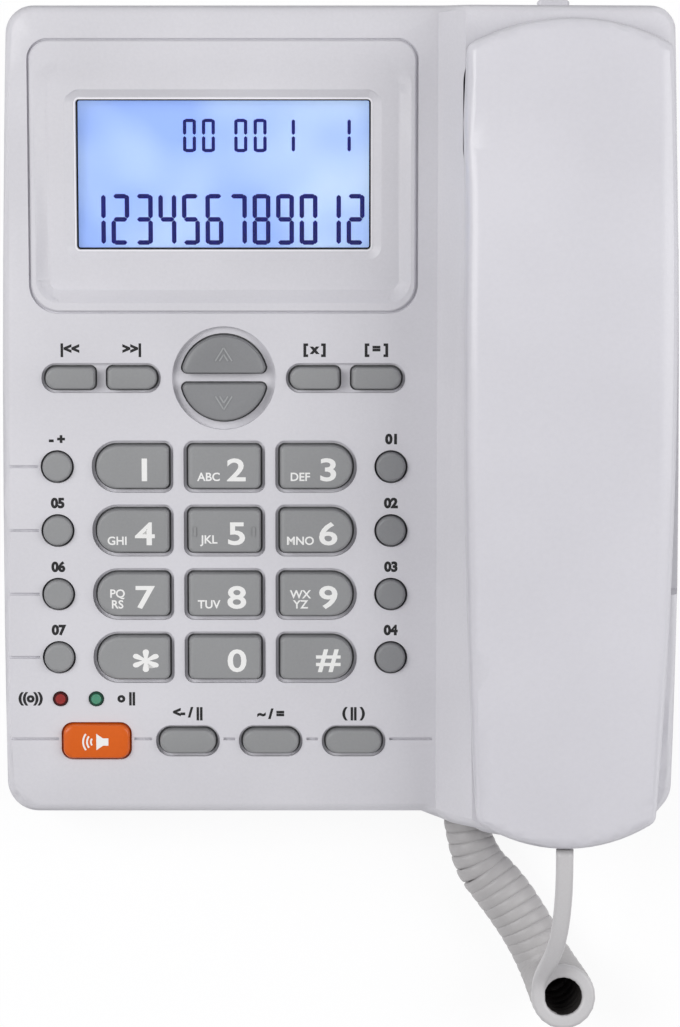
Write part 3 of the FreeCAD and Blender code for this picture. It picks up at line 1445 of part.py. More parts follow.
def cut_crown(body, inset):
    """Turn the arched and crowned back of the handset about an axis far below it."""
    sketch = add_sketch(body, "XZ_Plane")
    radius = value(f"handset_crown - ({inset})")
    half = value("handset_width")
    centre = Vector(0, value("handset_top - handset_crown"), 0)
    height = centre.y + math.sqrt(radius ** 2 - half ** 2)
    roof = value("2 * handset_top")
    axis = value("handset_top - handset_arch")
    right, left = Vector(half, height, 0), Vector(-half, height, 0)
    high_left, high_right = Vector(-half, roof, 0), Vector(half, roof, 0)
    curves = [
        arc_through(centre, radius, right, left),
        Part.LineSegment(left, high_left),
        Part.LineSegment(high_left, high_right),
        Part.LineSegment(high_right, right),
    ]
    bow, west, north, east = chain(sketch, curves, sharp=range(4))
    fix_point(sketch, bow, 3, "0", "handset_top - handset_crown")
    dimension(sketch, "Radius", (bow,), f"handset_crown - ({inset})")
    fix_point(sketch, north, 1, "-handset_width", "2 * handset_top")
    fix_point(sketch, north, 2, "handset_width", "2 * handset_top")
    for line in (west, east):
        sketch.addConstraint(Sketcher.Constraint("Vertical", line))
    pivot = sketch.addGeometry(Part.LineSegment(Vector(-half, axis, 0), Vector(half, axis, 0)), True)
    fix_point(sketch, pivot, 1, "-handset_width", "handset_top - handset_arch")
    fix_point(sketch, pivot, 2, "handset_width", "handset_top - handset_arch")
    groove = body.newObject("PartDesign::Groove", "crown")
    groove.Profile = sketch
    groove.ReferenceAxis = (sketch, ["Axis0"])
    groove.Angle = 60
    groove.Midplane = True
    groove.Refine = False
    body.Tip = groove


CUPS = (
    ("ear_v", "ear_width", "ear_length", "ear_round", "ear_drop"),
    ("-mouth_v", "mouth_width", "mouth_length", "mouth_round", "mouth_drop"),
)


def handset_block(label, inset):
    """Return the whole handset as one solid, its faces moved in by an inset."""
    body = new_body(label)
    place_on_deck(body, "handset_u", "handset_v")
    plan = add_sketch(body, at=("0", "0", f"handset_under + ({inset})"))
    handset_outline(plan, inset)
    extrude(body, "Pad", plan, "handset_top")
    cut_crown(body, inset)
    if inset == "0":
        ease_edges(body, "handset_round", crown_edges)
    for v, width, length, corner, drop in CUPS:
        cup = add_sketch(body, at=("0", v, f"({inset}) - {drop}"))
        slab(cup, width, length, [corner] * 4, f"-({inset})")
        extrude(body, "Pad", cup, f"{drop} + handset_under + handset_wall / 2")
    return body


def crown_edges(shape, edge):
    """Pick the edges between the upright sides and the crowned back."""
    slopes = []
    for face in shape.ancestorsOfType(edge, Part.Face):
        first, last, low, high = face.ParameterRange
        slopes.append(face.normalAt((first + last) / 2, (low + high) / 2).z)
    return min(abs(slope) for slope in slopes) < 1e-4 and max(slopes) > 0.3


HANDSET_SEAM = "(handset_under + handset_wall)"
GRIP_HEAD = "(handset_under + screw_sink + screw_head_wall)"
GRIP_PAD = f"({GRIP_HEAD} + screw_bridge)"
HANDSET_SCREWS = ("ear_v - ear_length / 2 - grip_screw", "-mouth_v + mouth_length / 2 + grip_screw")


def on_handset(item, u="0", v="0", w="0"):
    """Place an object in the handset's frame."""
    place_on_deck(item, f"handset_u + {u}", f"handset_v + ({v})", w)


def handset_cylinder(name, radius, height, v, w):
    """Return a cylinder square to the handset's length."""
    item = cylinder(name, radius, height)
    on_handset(item, "0", v, w)
    return item


def make_handset():
    """Make the two shells of the handset and return them."""
    outside = handset_block("handset_outside", "0")
    inside = handset_block("handset_inside", "handset_wall")
    grille = add_sketch(outside, at=("0", "ear_v", "-ear_drop - 1"))
    circle(grille, "grille_hole")
    extrude(outside, "Pocket", grille, "handset_wall + 2", back=True)
    ring = add_sketch(outside, at=("0", "ear_v", "-ear_drop - 1"))
    circle(ring, "grille_hole", "grille_ring", "0")
    holes = extrude(outside, "Pocket", ring, "handset_wall + 2", back=True)
    pattern = outside.newObject("PartDesign::PolarPattern", "grille")
    pattern.Originals = [holes]
    pattern.Axis = (ring, ["N_Axis"])
    pattern.Angle = 360
    pattern.Occurrences = 6
    outside.Tip = pattern
    slit = add_sketch(outside, at=("0", "-mouth_v", "-mouth_drop - 1"))
    slab(slit, "3 * grille_hole", "grille_hole", ["(grille_hole - end_flat) / 2"] * 4)
    extrude(outside, "Pocket", slit, "handset_wall + 2", back=True)
    shell = cut("handset_shell", outside, inside)

    size = ("2 * handset_width", "2 * handset_length", "2 * handset_top")
    upper = box("upper_half", size, "0", "0", "0")
    on_handset(upper, "(-handset_width)", "-handset_length", HANDSET_SEAM)
    bosses, holes = [], []
    for v in HANDSET_SCREWS:
        rise = f"handset_top - handset_wall - {GRIP_PAD}"
        post = handset_cylinder("handset_boss", "boss_radius", rise, v, GRIP_PAD)
        bore = handset_cylinder(
            "handset_bore", "screw_shank + fit_gap / 2", "screw_length + 1", v, GRIP_HEAD
        )
        bosses.append(cut("handset_post", post, bore))
    opening = box(
        "handset_mouth",
        ("plug_width + 2 * fit_gap", "4 * handset_wall", "plug_height + 2 * fit_gap"),
        "0",
        "0",
        "0",
    )
    on_handset(
        opening,
        "(-plug_width / 2 - fit_gap)",
        "-handset_length / 2 - handset_wall",
        "handset_plug_w - plug_height / 2 - fit_gap",
    )
    back = fuse("back_with_bosses", [common("back_half", shell, upper)] + bosses)
    back = cut("handset_back", back, opening)
    pads = [cut("face_half", shell, upper)]
    for v in HANDSET_SCREWS:
        rise = f"{GRIP_PAD} - handset_under"
        pads.append(handset_cylinder("face_pad", "pillar_radius", rise, v, "handset_under"))
        holes.append(handset_cylinder("face_hole", "screw_shank + fit_gap", rise, v, "handset_under"))
        depth = f"{GRIP_HEAD} - handset_under"
        holes.append(handset_cylinder("face_head", "screw_head + fit_gap", depth, v, "handset_under"))
    face = cut("handset_face", fuse("face_with_pads", pads), fuse("face_holes", holes))
    return back, face


def make_handset_screws():
    """Make the two screws in the grip."""
    screws = []
    for number, v in enumerate(HANDSET_SCREWS):
        screw = make_screw(f"grip_screw_{number}", "0", "0", "0")
        on_handset(screw, "0", v, "handset_under + screw_sink")
        screws.append(screw)
    return together("handset_screws", screws)


def make_capsule(label, radius, height, v, drop):
    """Make a round capsule that lies on the floor of its cup."""
    body = new_body(label)
    on_handset(body, "0", v, f"handset_wall - {drop}")
    rim = add_sketch(body)
    circle(rim, radius)
    extrude(body, "Pad", rim, height)
    ease_edges(body, "capsule_round", edge_at(value(height)))
    return body


# Curly cord, in millimetres: the route of its axis and tail was chosen by eye

COIL_BEND = Vector(31.6, -112.0, 0)
COIL_FOOT = Vector(57.9, -148.4, 0)
BEND_RADIUS = 46.0
RISE_RADIUS = 16.0
RISE_STRAIGHT = 2.0
LEAD_STRAIGHT = 4.0
RAMP = 9.0
LEAVE_ANGLE = math.radians(145)
TAIL_PULL = (24.0, 26.0)
TAIL_STEPS = 5
STEP = 0.02
GAP_STEP = 4
CORD_SIDES = 5


class CoilAxis:
    """The middle line of the coil: straight, a level bend, straight, and a bend upwards."""

    def __init__(self, start):
        level = start.z
        bend = Vector(COIL_BEND.x, COIL_BEND.y, level)
        foot = Vector(COIL_FOOT.x, COIL_FOOT.y, level)
        self.first = (bend - start).normalize()
        self.second = (foot - bend).normalize()
        self.turn = math.acos(self.first.dot(self.second))
        trim = BEND_RADIUS * math.tan(self.turn / 2)
        self.start = start
        self.runs = (
            (bend - start).Length - trim,
            BEND_RADIUS * self.turn,
            (foot - bend).Length - trim - RISE_RADIUS,
            RISE_RADIUS * math.pi / 2,
            RISE_STRAIGHT,
        )
        self.length = sum(self.runs)
        self.bend_from = start + self.first * self.runs[0]
        self.rise_from = foot - self.second * RISE_RADIUS

    def at(self, travel):
        """Return the point, the sideways and the upward direction at a distance along the axis."""
        first, bend, second, rise, _ = self.runs
        upright = Vector(0, 0, 1)
        if travel < first:
            point, ahead = self.start + self.first * travel, self.first
        elif travel < first + bend:
            angle = (travel - first) / BEND_RADIUS
            side = (self.second - self.first * math.cos(self.turn)) * (1 / math.sin(self.turn))
            arc = self.first * math.sin(angle) + side * (1 - math.cos(angle))
            point = self.bend_from + arc * BEND_RADIUS
            ahead = self.first * math.cos(angle) + side * math.sin(angle)
        elif travel < first + bend + second:
            beyond = travel - first - bend - second
            point, ahead = self.rise_from + self.second * beyond, self.second
        else:
            ahead = self.second
            along = travel - first - bend - second
            angle = min(along / RISE_RADIUS, math.pi / 2)
            straight = max(along - rise, 0)
            arc = ahead * math.sin(angle) + upright * (1 - math.cos(angle))
            point = self.rise_from + arc * RISE_RADIUS + upright * straight
            return point, upright.cross(ahead), upright * math.cos(angle) - ahead * math.sin(angle)
        return point, upright.cross(ahead), upright


def ease(share):
    """Return a smooth step from 0 to 1."""
    share = min(max(share, 0), 1)
    return share * share * (3 - 2 * share)


def coil_points():
    """Return points along the middle of the wire in the coil, and the angle at each."""
    lift = value("coil_lift")
    begin = Vector(value("tunnel_u"), value("-tunnel_end - plug_out") - LEAD_STRAIGHT, lift)
    axis = CoilAxis(begin)
    offset = value("base_plug_z") - lift
    level = sum(axis.runs[:3])
    close, apart = value("coil_pitch"), value("coil_open")
    wide, flare = value("coil_radius"), value("coil_flare")
    count = int(axis.length / STEP)
    turns = [0.0]
    for number in range(count):
        travel = number * STEP
        opened = ease((travel - level + RISE_RADIUS / 2) / RISE_RADIUS)
        pitch = close + (apart - close) * opened
        turns.append(turns[-1] + 2 * math.pi * STEP * ease(travel / RAMP) / pitch)
    whole = math.floor(turns[-1] / (2 * math.pi))
    wanted = 2 * math.pi * whole + math.pi / 2 - LEAVE_ANGLE
    points, angles = [], []
    for number, turn in enumerate(turns):
        travel = number * STEP
        radius = offset + (wide - offset) * ease(travel / RAMP)
        radius += flare * ease((travel - level) / (axis.length - level))
        angle = math.pi / 2 - turn * wanted / turns[-1]
        middle, side, up = axis.at(travel)
        points.append(middle + side * (radius * math.cos(angle)) + up * (radius * math.sin(angle)))
        angles.append(math.pi / 2 - angle)
    return points, angles


def half_turns(points, angles):
    """Return a point and a direction at the start, at each half turn and at the end."""
    nodes = []
    nexts = 0.0
    last = len(points) - 1
    for number, angle in enumerate(angles):
        if angle >= nexts - 1e-9 or number == last:
            if number == last and angles[last] < nexts - math.pi / 2:
                nodes.pop()
            ahead = points[min(number + 1, last)] - points[max(number - 1, 0)]
            nodes.append((points[number], ahead.normalize()))
            nexts += math.pi
    return nodes


def tail_nodes(start, ahead, end, into):
    """Return points and directions along the tail, from the last turn to the plug."""
    pull_out, pull_in = TAIL_PULL
    nodes = []
    for number in range(1, TAIL_STEPS + 1):
        share = number / TAIL_STEPS
        rest = 1 - share
        knots = (start, start + ahead * pull_out, end - into * pull_in, end)
        weights = (rest ** 3, 3 * rest ** 2 * share, 3 * rest * share ** 2, share ** 3)
        slopes = (-rest ** 2, rest ** 2 - 2 * rest * share, 2 * rest * share - share ** 2, share ** 2)
        point = Vector()
        slope = Vector()
        for knot, weight, change in zip(knots, weights, slopes):
            point += knot * weight
            slope += knot * change
        nodes.append((point, slope.normalize()))
    return nodes


def arc_from(start, ahead, end):
    """Return the edge that leaves a point in one direction and reaches another point."""
    chord = end - start
    middle = (start + end) * 0.5
    length = chord.Length
    chord.normalize()
    lean = ahead - chord * ahead.dot(chord)
    if lean.Length < 1e-6:
        return Part.makeLine(start, end)
    bend = math.atan2(lean.Length, ahead.dot(chord))
    lean.normalize()
    return Part.Arc(start, middle + lean * (length / 2 * math.tan(bend / 2)), end).toShape()


def biarc(first, last):
    """Return two tangent arcs between two points with directions."""
    start, leave = first
    end, arrive = last
    run = end - start
    both = leave + arrive
    spread = 2 * (1 - leave.dot(arrive))
    if spread < 1e-9:
        pull = run.dot(run) / (4 * run.dot(arrive))
    else:
        pull = (-run.dot(both) + math.sqrt(run.dot(both) ** 2 + spread * run.dot(run))) / spread
    join = (start + end + (leave - arrive) * pull) * 0.5
    return [arc_from(start, leave, join), arc_from(end, arrive * -1, join)]


def least_gap(points, angles, wire):
    """Return the least clear distance between turns of the coil that lie side by side."""
    spaced = points[::GAP_STEP]
    turn = [angle / (2 * math.pi) for angle in angles[::GAP_STEP]]
    least = min(
        (spaced[one] - spaced[other]).Length
        for one in range(len(spaced))
        for other in range(one + 1, len(spaced))
        if 0.5 < turn[other] - turn[one] < 2.5
    )
    return least - 2 * wire


def make_cord():
    """Make the curly cord as one tube: lead, coil and tail."""
    wire = value("cord_wire")
    points, angles = coil_points()
    nodes = half_turns(points, angles)
    plug = Vector(value("tunnel_u"), value("-tunnel_end - plug_out"), value("base_plug_z"))
    into = Vector(0, value("cos(deck_tilt)"), value("sin(deck_tilt)"))
    at = "handset_v - handset_length / 2 - plug_proud"
    y = value(DECK_Y.format(v=at, w="handset_plug_w"))
    z = value(DECK_Z.format(v=at, w="handset_plug_w"))
    socket = Vector(value("handset_u"), y, z)
    tail_end = socket - into * LEAD_STRAIGHT
    nodes += tail_nodes(nodes[-1][0], nodes[-1][1], tail_end, into)
    edges = [Part.makeLine(plug, nodes[0][0])]
    for first, last in zip(nodes, nodes[1:]):
        edges += biarc(first, last)
    edges.append(Part.makeLine(tail_end, socket))
    spine = Part.Wire(edges)
    corners = []
    for number in range(CORD_SIDES + 1):
        angle = 2 * math.pi * (number % CORD_SIDES) / CORD_SIDES
        corners.append(plug + Vector(math.cos(angle), 0, math.sin(angle)) * wire)
    ring = Part.makePolygon(corners)
    tube = spine.makePipeShell([ring], True, False)
    share = tube.Volume / (Part.Face(ring).Area * spine.Length)
    turns = angles[-1] / (2 * math.pi)
    print(f"cord: {turns:.1f} turns, {spine.Length:.0f} mm long, volume share {share:.4f}")
    print(f"cord: least gap to itself {least_gap(points, angles, wire):.2f} mm")
    cord = DOC.addObject("Part::Feature", "curly_cord")
    cord.Label = "curly_cord"
    cord.Shape = tube
    return cord


def main():
    """Build every piece, check it and write it."""
    lens_back = "lens_top + stack_gap + lens_wall"
    panel_back = f"{lens_back} + stack_gap + panel_wall"
    base_jack = make_jack("handset_jack", "plug_length - plug_out - tunnel_wall")
    place(base_jack, "tunnel_u", "-tunnel_end + tunnel_wall", "base_plug_z")
    base_plug = make_plug("base_plug")
    place(base_plug, "tunnel_u", "-tunnel_end - plug_out", "base_plug_z")
    socket = make_jack("handset_socket", "plug_length - plug_proud - 2 * handset_wall")
    on_handset(socket, "0", "-handset_length / 2 + 2 * handset_wall", "handset_plug_w")
    handset_plug = make_plug("handset_plug")
    on_handset(handset_plug, "0", "-handset_length / 2 - plug_proud", "handset_plug_w")
    pieces = [
        make_top_housing(),
        make_bottom_housing(),
        make_feet(),
        make_housing_screws(),
        make_bezel(),
        make_layer("display_window", "lens_top", "lens_wall", "0"),
        make_layer("lcd_panel", lens_back, "panel_wall", "fit_gap"),
        make_layer("backlight", panel_back, "backlight_wall", "fit_gap"),
        make_board(),
        make_membrane(),
        make_lamp("ring_led", "ring_lamp_u"),
        make_lamp("use_led", "use_lamp_u"),
        make_hook_plunger(),
        make_hook_switch(),
        make_ringer_knob(),
        make_ringer_switch(),
        make_line_jack(),
        make_loudspeaker(),
        base_jack,
        base_plug,
        *make_handset(),
        make_handset_screws(),
        make_capsule("receiver", "receiver_radius", "receiver_height", "ear_v", "ear_drop"),
        make_capsule("microphone", "mic_radius", "mic_height", "-mouth_v", "mouth_drop"),
        socket,
        handset_plug,
        make_cord(),
    ]
    pieces += [make_key(*key) for key in KEYS]
    DOC.recompute()
    failed = [item.Name for item in DOC.Objects if {"Invalid", "Error"} & set(item.State)]
    for piece in pieces:
        if piece.Shape.isNull() or not piece.Shape.isValid() or not piece.Shape.Solids:
            failed.append(piece.Label)
    if failed:
        raise RuntimeError("these objects failed: " + ", ".join(failed))
    os.makedirs("parts", exist_ok=True)
    for piece in pieces:
        piece.Shape.exportStep(f"parts/{piece.Label}.step")
    print(f"wrote {len(pieces)} pieces")


main()
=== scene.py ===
"""A white corded desk telephone with a lit display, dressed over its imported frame.

Lengths are written in millimetres and turned to metres where a mesh is made.
"""

from __future__ import annotations

import json
import logging
import math
from collections.abc import Callable, Iterable
from dataclasses import dataclass
from enum import Enum
from itertools import accumulate

import bmesh
import bpy
from bmesh.types import BMEdge, BMesh, BMFace, BMVert
from bpy.types import Curve, Material, Mesh, Node, NodeSocket, NodeTree, Object, Scene
from mathutils import Matrix, Vector
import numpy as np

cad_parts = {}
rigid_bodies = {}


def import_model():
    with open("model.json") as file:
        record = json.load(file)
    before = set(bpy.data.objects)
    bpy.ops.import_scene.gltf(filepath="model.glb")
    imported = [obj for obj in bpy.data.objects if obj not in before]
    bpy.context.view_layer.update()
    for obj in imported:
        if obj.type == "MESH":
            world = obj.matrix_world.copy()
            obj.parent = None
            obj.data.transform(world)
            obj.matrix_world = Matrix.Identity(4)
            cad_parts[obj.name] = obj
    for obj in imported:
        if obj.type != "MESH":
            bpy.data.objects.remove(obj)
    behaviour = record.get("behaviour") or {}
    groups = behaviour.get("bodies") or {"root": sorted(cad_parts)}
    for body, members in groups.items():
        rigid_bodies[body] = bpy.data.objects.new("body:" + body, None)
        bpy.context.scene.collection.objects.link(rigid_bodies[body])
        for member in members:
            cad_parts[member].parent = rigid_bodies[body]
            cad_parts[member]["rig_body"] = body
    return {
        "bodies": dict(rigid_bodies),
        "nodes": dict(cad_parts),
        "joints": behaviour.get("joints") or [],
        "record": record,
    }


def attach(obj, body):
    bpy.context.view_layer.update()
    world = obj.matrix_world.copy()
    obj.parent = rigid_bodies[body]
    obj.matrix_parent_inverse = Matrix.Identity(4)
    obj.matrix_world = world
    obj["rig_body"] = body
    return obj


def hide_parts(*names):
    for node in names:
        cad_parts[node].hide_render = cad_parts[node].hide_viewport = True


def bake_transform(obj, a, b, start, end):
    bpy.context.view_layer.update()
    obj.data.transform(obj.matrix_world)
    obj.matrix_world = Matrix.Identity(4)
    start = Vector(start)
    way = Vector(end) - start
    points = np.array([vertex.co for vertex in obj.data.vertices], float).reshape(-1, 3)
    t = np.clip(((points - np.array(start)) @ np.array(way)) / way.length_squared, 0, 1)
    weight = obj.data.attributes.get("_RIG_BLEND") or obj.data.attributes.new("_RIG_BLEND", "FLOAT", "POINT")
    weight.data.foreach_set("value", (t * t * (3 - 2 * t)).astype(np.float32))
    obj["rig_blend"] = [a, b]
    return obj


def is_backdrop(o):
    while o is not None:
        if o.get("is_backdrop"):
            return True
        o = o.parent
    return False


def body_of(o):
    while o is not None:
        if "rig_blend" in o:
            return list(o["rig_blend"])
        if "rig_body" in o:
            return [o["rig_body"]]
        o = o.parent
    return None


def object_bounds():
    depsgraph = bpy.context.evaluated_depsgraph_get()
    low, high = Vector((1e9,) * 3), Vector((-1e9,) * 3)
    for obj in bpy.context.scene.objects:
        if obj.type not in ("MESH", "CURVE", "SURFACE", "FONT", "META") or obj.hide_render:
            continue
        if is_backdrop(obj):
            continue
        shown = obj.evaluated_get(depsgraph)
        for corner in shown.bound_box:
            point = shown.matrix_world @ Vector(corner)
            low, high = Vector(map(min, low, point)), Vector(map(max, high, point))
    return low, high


LOG = logging.getLogger("telephone")
MM = 0.001
WELD = 0.002
CORNER_STEPS = 5
CAPITAL_SHARE = 1.42
LETTER_STEPS = 4
LETTER_WELD = 0.001
IMAGE = (680, 1027)
SENSOR = 36.0
WHITE = (1, 1, 1, 1)
Pair = tuple[float, float]
Triple = tuple[float, float, float]
Limits = tuple[tuple[int, float, float], ...]


def linear(colour: str) -> tuple[float, float, float, float]:
    """Turn an sRGB hex colour into linear red, green, blue and alpha.

    Args:
        colour: Six hex digits after a hash sign.

    Returns:
        The four linear values.
    """
    parts = []
    for start in (1, 3, 5):
        share = int(colour[start:start + 2], 16) / 255
        parts.append(share / 12.92 if share <= 0.04045 else ((share + 0.055) / 1.055) ** 2.4)
    return (*parts, 1.0)


def rise(value: float, start: float, span: float) -> float:
    """Return a smooth rise of a value from 0 at a start to 1 a span further on."""
    share = min(max((value - start) / span, 0.0), 1.0)
    return share * share * (3 - 2 * share)


def inside(place: Vector, limits: Limits) -> float:
    """Return how far a place lies inside smooth limits, each an axis, a start and a span."""
    return math.prod(rise(place[axis], start, span) for axis, start, span in limits)


def add_node(
    tree: NodeTree,
    kind: str,
    settings: dict[str, object] | None = None,
    links: dict[str | int, NodeSocket] | None = None,
) -> Node:
    """Add a node with its settings and links.

    Args:
        tree: The node tree.
        kind: The node's type.
        settings: Values of its inputs or of its properties, by name.
        links: Sockets that feed its inputs, by name or number.

    Returns:
        The node.
    """
    node = tree.nodes.new(kind)
    for name, setting in (settings or {}).items():
        if name in node.inputs:
            node.inputs[name].default_value = setting
        else:
            setattr(node, name, setting)
    for name, socket in (links or {}).items():
        tree.links.new(socket, node.inputs[name])
    return node


class MaterialMaker:
    """A material in the making, with its shader and its Object coordinates."""

    def __init__(self, title: str) -> None:
        """Start the material.

        Args:
            title: Its name.
        """
        self.material = bpy.data.materials.new(title)
        self.material.use_nodes = True
        self.tree = self.material.node_tree
        self.shader = self.tree.nodes["Principled BSDF"]
        self.place = add_node(self.tree, "ShaderNodeTexCoord").outputs["Object"]

    def noise(self, size: float, detail: float, roughness: float = 0.5) -> NodeSocket:
        """Return a noise with patches of a size in millimetres."""
        settings = {"Scale": 1 / (size * MM), "Detail": detail, "Roughness": roughness}
        return add_node(self.tree, "ShaderNodeTexNoise", settings, {"Vector": self.place}).outputs["Fac"]

    def ramp(self, source: NodeSocket, spots: Pair, colours: tuple[str, str]) -> NodeSocket:
        """Blend from one colour to another between two values of a source.

        Args:
            source: The source.
            spots: Its values at the two colours.
            colours: The two colours.

        Returns:
            The blended colour.
        """
        node = add_node(self.tree, "ShaderNodeValToRGB", links={"Fac": source})
        for element, spot, colour in zip(node.color_ramp.elements, spots, colours):
            element.position = spot
            element.color = linear(colour)
        return node.outputs["Color"]

    def vary_gloss(self, low: float, high: float, source: NodeSocket) -> None:
        """Let the roughness vary with a source.

        Args:
            low: The least roughness.
            high: The most.
            source: The source.
        """
        settings = {"To Min": low, "To Max": high}
        node = add_node(self.tree, "ShaderNodeMapRange", settings, {"Value": source})
        self.feed({"Roughness": node.outputs["Result"]})

    def feed(self, inputs: dict[str, object]) -> None:
        """Set or link inputs of the shader.

        Args:
            inputs: Values or sockets, by the input's name.
        """
        for name, given in inputs.items():
            if isinstance(given, NodeSocket):
                self.tree.links.new(given, self.shader.inputs[name])
            else:
                self.shader.inputs[name].default_value = given


@dataclass(frozen=True)
class Moulded:
    """A moulded plastic or rubber with the fine grain that its mould was etched with."""

    title: str
    colour: str
    shade: str
    roughness: float
    grain: float
    relief: float
    ior: float = 1.5
    coat: float = 0.0
    subsurface: float = 0.0
    glow: float = 0.0
    mottle: float = 45.0
    details: Pair = (3.0, 2.0)
    harshness: float = 0.6
    fine_share: float = 0.5
    ramp: Pair = (0.45, 0.95)
    spread: float = 0.05

    def make(self) -> Material:
        """Build the material.

        Returns:
            The material.
        """
        work = MaterialMaker(self.title)
        fine = work.noise(self.grain, self.details[0], self.harshness)
        broad = work.noise(self.mottle, self.details[1])
        blend = add_node(work.tree, "ShaderNodeMath", {"operation": "MULTIPLY_ADD"}, {0: fine, 2: broad})
        blend.inputs[1].default_value = self.fine_share
        colour = work.ramp(blend.outputs["Value"], self.ramp, (self.shade, self.colour))
        work.vary_gloss(self.roughness - self.spread, self.roughness + self.spread, broad)
        bump = add_node(
            work.tree, "ShaderNodeBump", {"Strength": 1.0, "Distance": self.relief * MM}, {"Height": fine}
        )
        work.feed({
            "Base Color": colour, "Normal": bump.outputs["Normal"], "IOR": self.ior,
            "Coat Weight": self.coat, "Subsurface Weight": self.subsurface, "Subsurface Scale": MM,
        })
        if self.glow:
            work.feed({"Emission Color": colour, "Emission Strength": self.glow})
        return work.material


@dataclass(frozen=True)
class Clear:
    """A clear cast or moulded plastic that what is behind it shows through."""

    title: str
    colour: str
    roughness: float
    ior: float = 1.49
    glare: float = 0.5
    haze: float = 18.0
    detail: float = 4.0
    spread: float = 0.5

    def make(self) -> Material:
        """Build the material.

        Returns:
            The material.
        """
        work = MaterialMaker(self.title)
        smear = work.noise(self.haze, self.detail)
        work.vary_gloss(self.roughness * (1 - self.spread), self.roughness * (1 + self.spread), smear)
        work.feed({
            "Base Color": linear(self.colour), "IOR": self.ior, "Specular IOR Level": self.glare,
            "Transmission Weight": 1.0,
        })
        return work.material


@dataclass(frozen=True)
class LitPanel:
    """A display panel lit from behind, a little brighter in cloudy patches."""

    title: str
    colour: str
    shade: str
    glow: float
    roughness: float = 0.35
    cloud: float = 26.0
    detail: float = 1.0
    ramp: Pair = (0.35, 0.7)

    def make(self) -> Material:
        """Build the material.

        Returns:
            The material.
        """
        work = MaterialMaker(self.title)
        colour = work.ramp(work.noise(self.cloud, self.detail), self.ramp, (self.shade, self.colour))
        work.feed({
            "Base Color": colour, "Emission Color": colour, "Emission Strength": self.glow,
            "Roughness": self.roughness,
        })
        return work.material


@dataclass(frozen=True)
class TurnedSteel:
    """Plated steel with the fine rings that turning leaves."""

    title: str
    colour: str
    roughness: float
    ring: float
    waver: float = 2.0
    spread: float = 0.06

    def make(self) -> Material:
        """Build the material.

        Returns:
            The material.
        """
        work = MaterialMaker(self.title)
        settings = {"wave_type": "RINGS", "Scale": 1 / (self.ring * MM), "Distortion": self.waver}
        rings = add_node(work.tree, "ShaderNodeTexWave", settings, {"Vector": work.place}).outputs["Fac"]
        work.vary_gloss(self.roughness - self.spread, self.roughness + self.spread, rings)
        work.feed({"Base Color": linear(self.colour), "Metallic": 1.0})
        return work.material


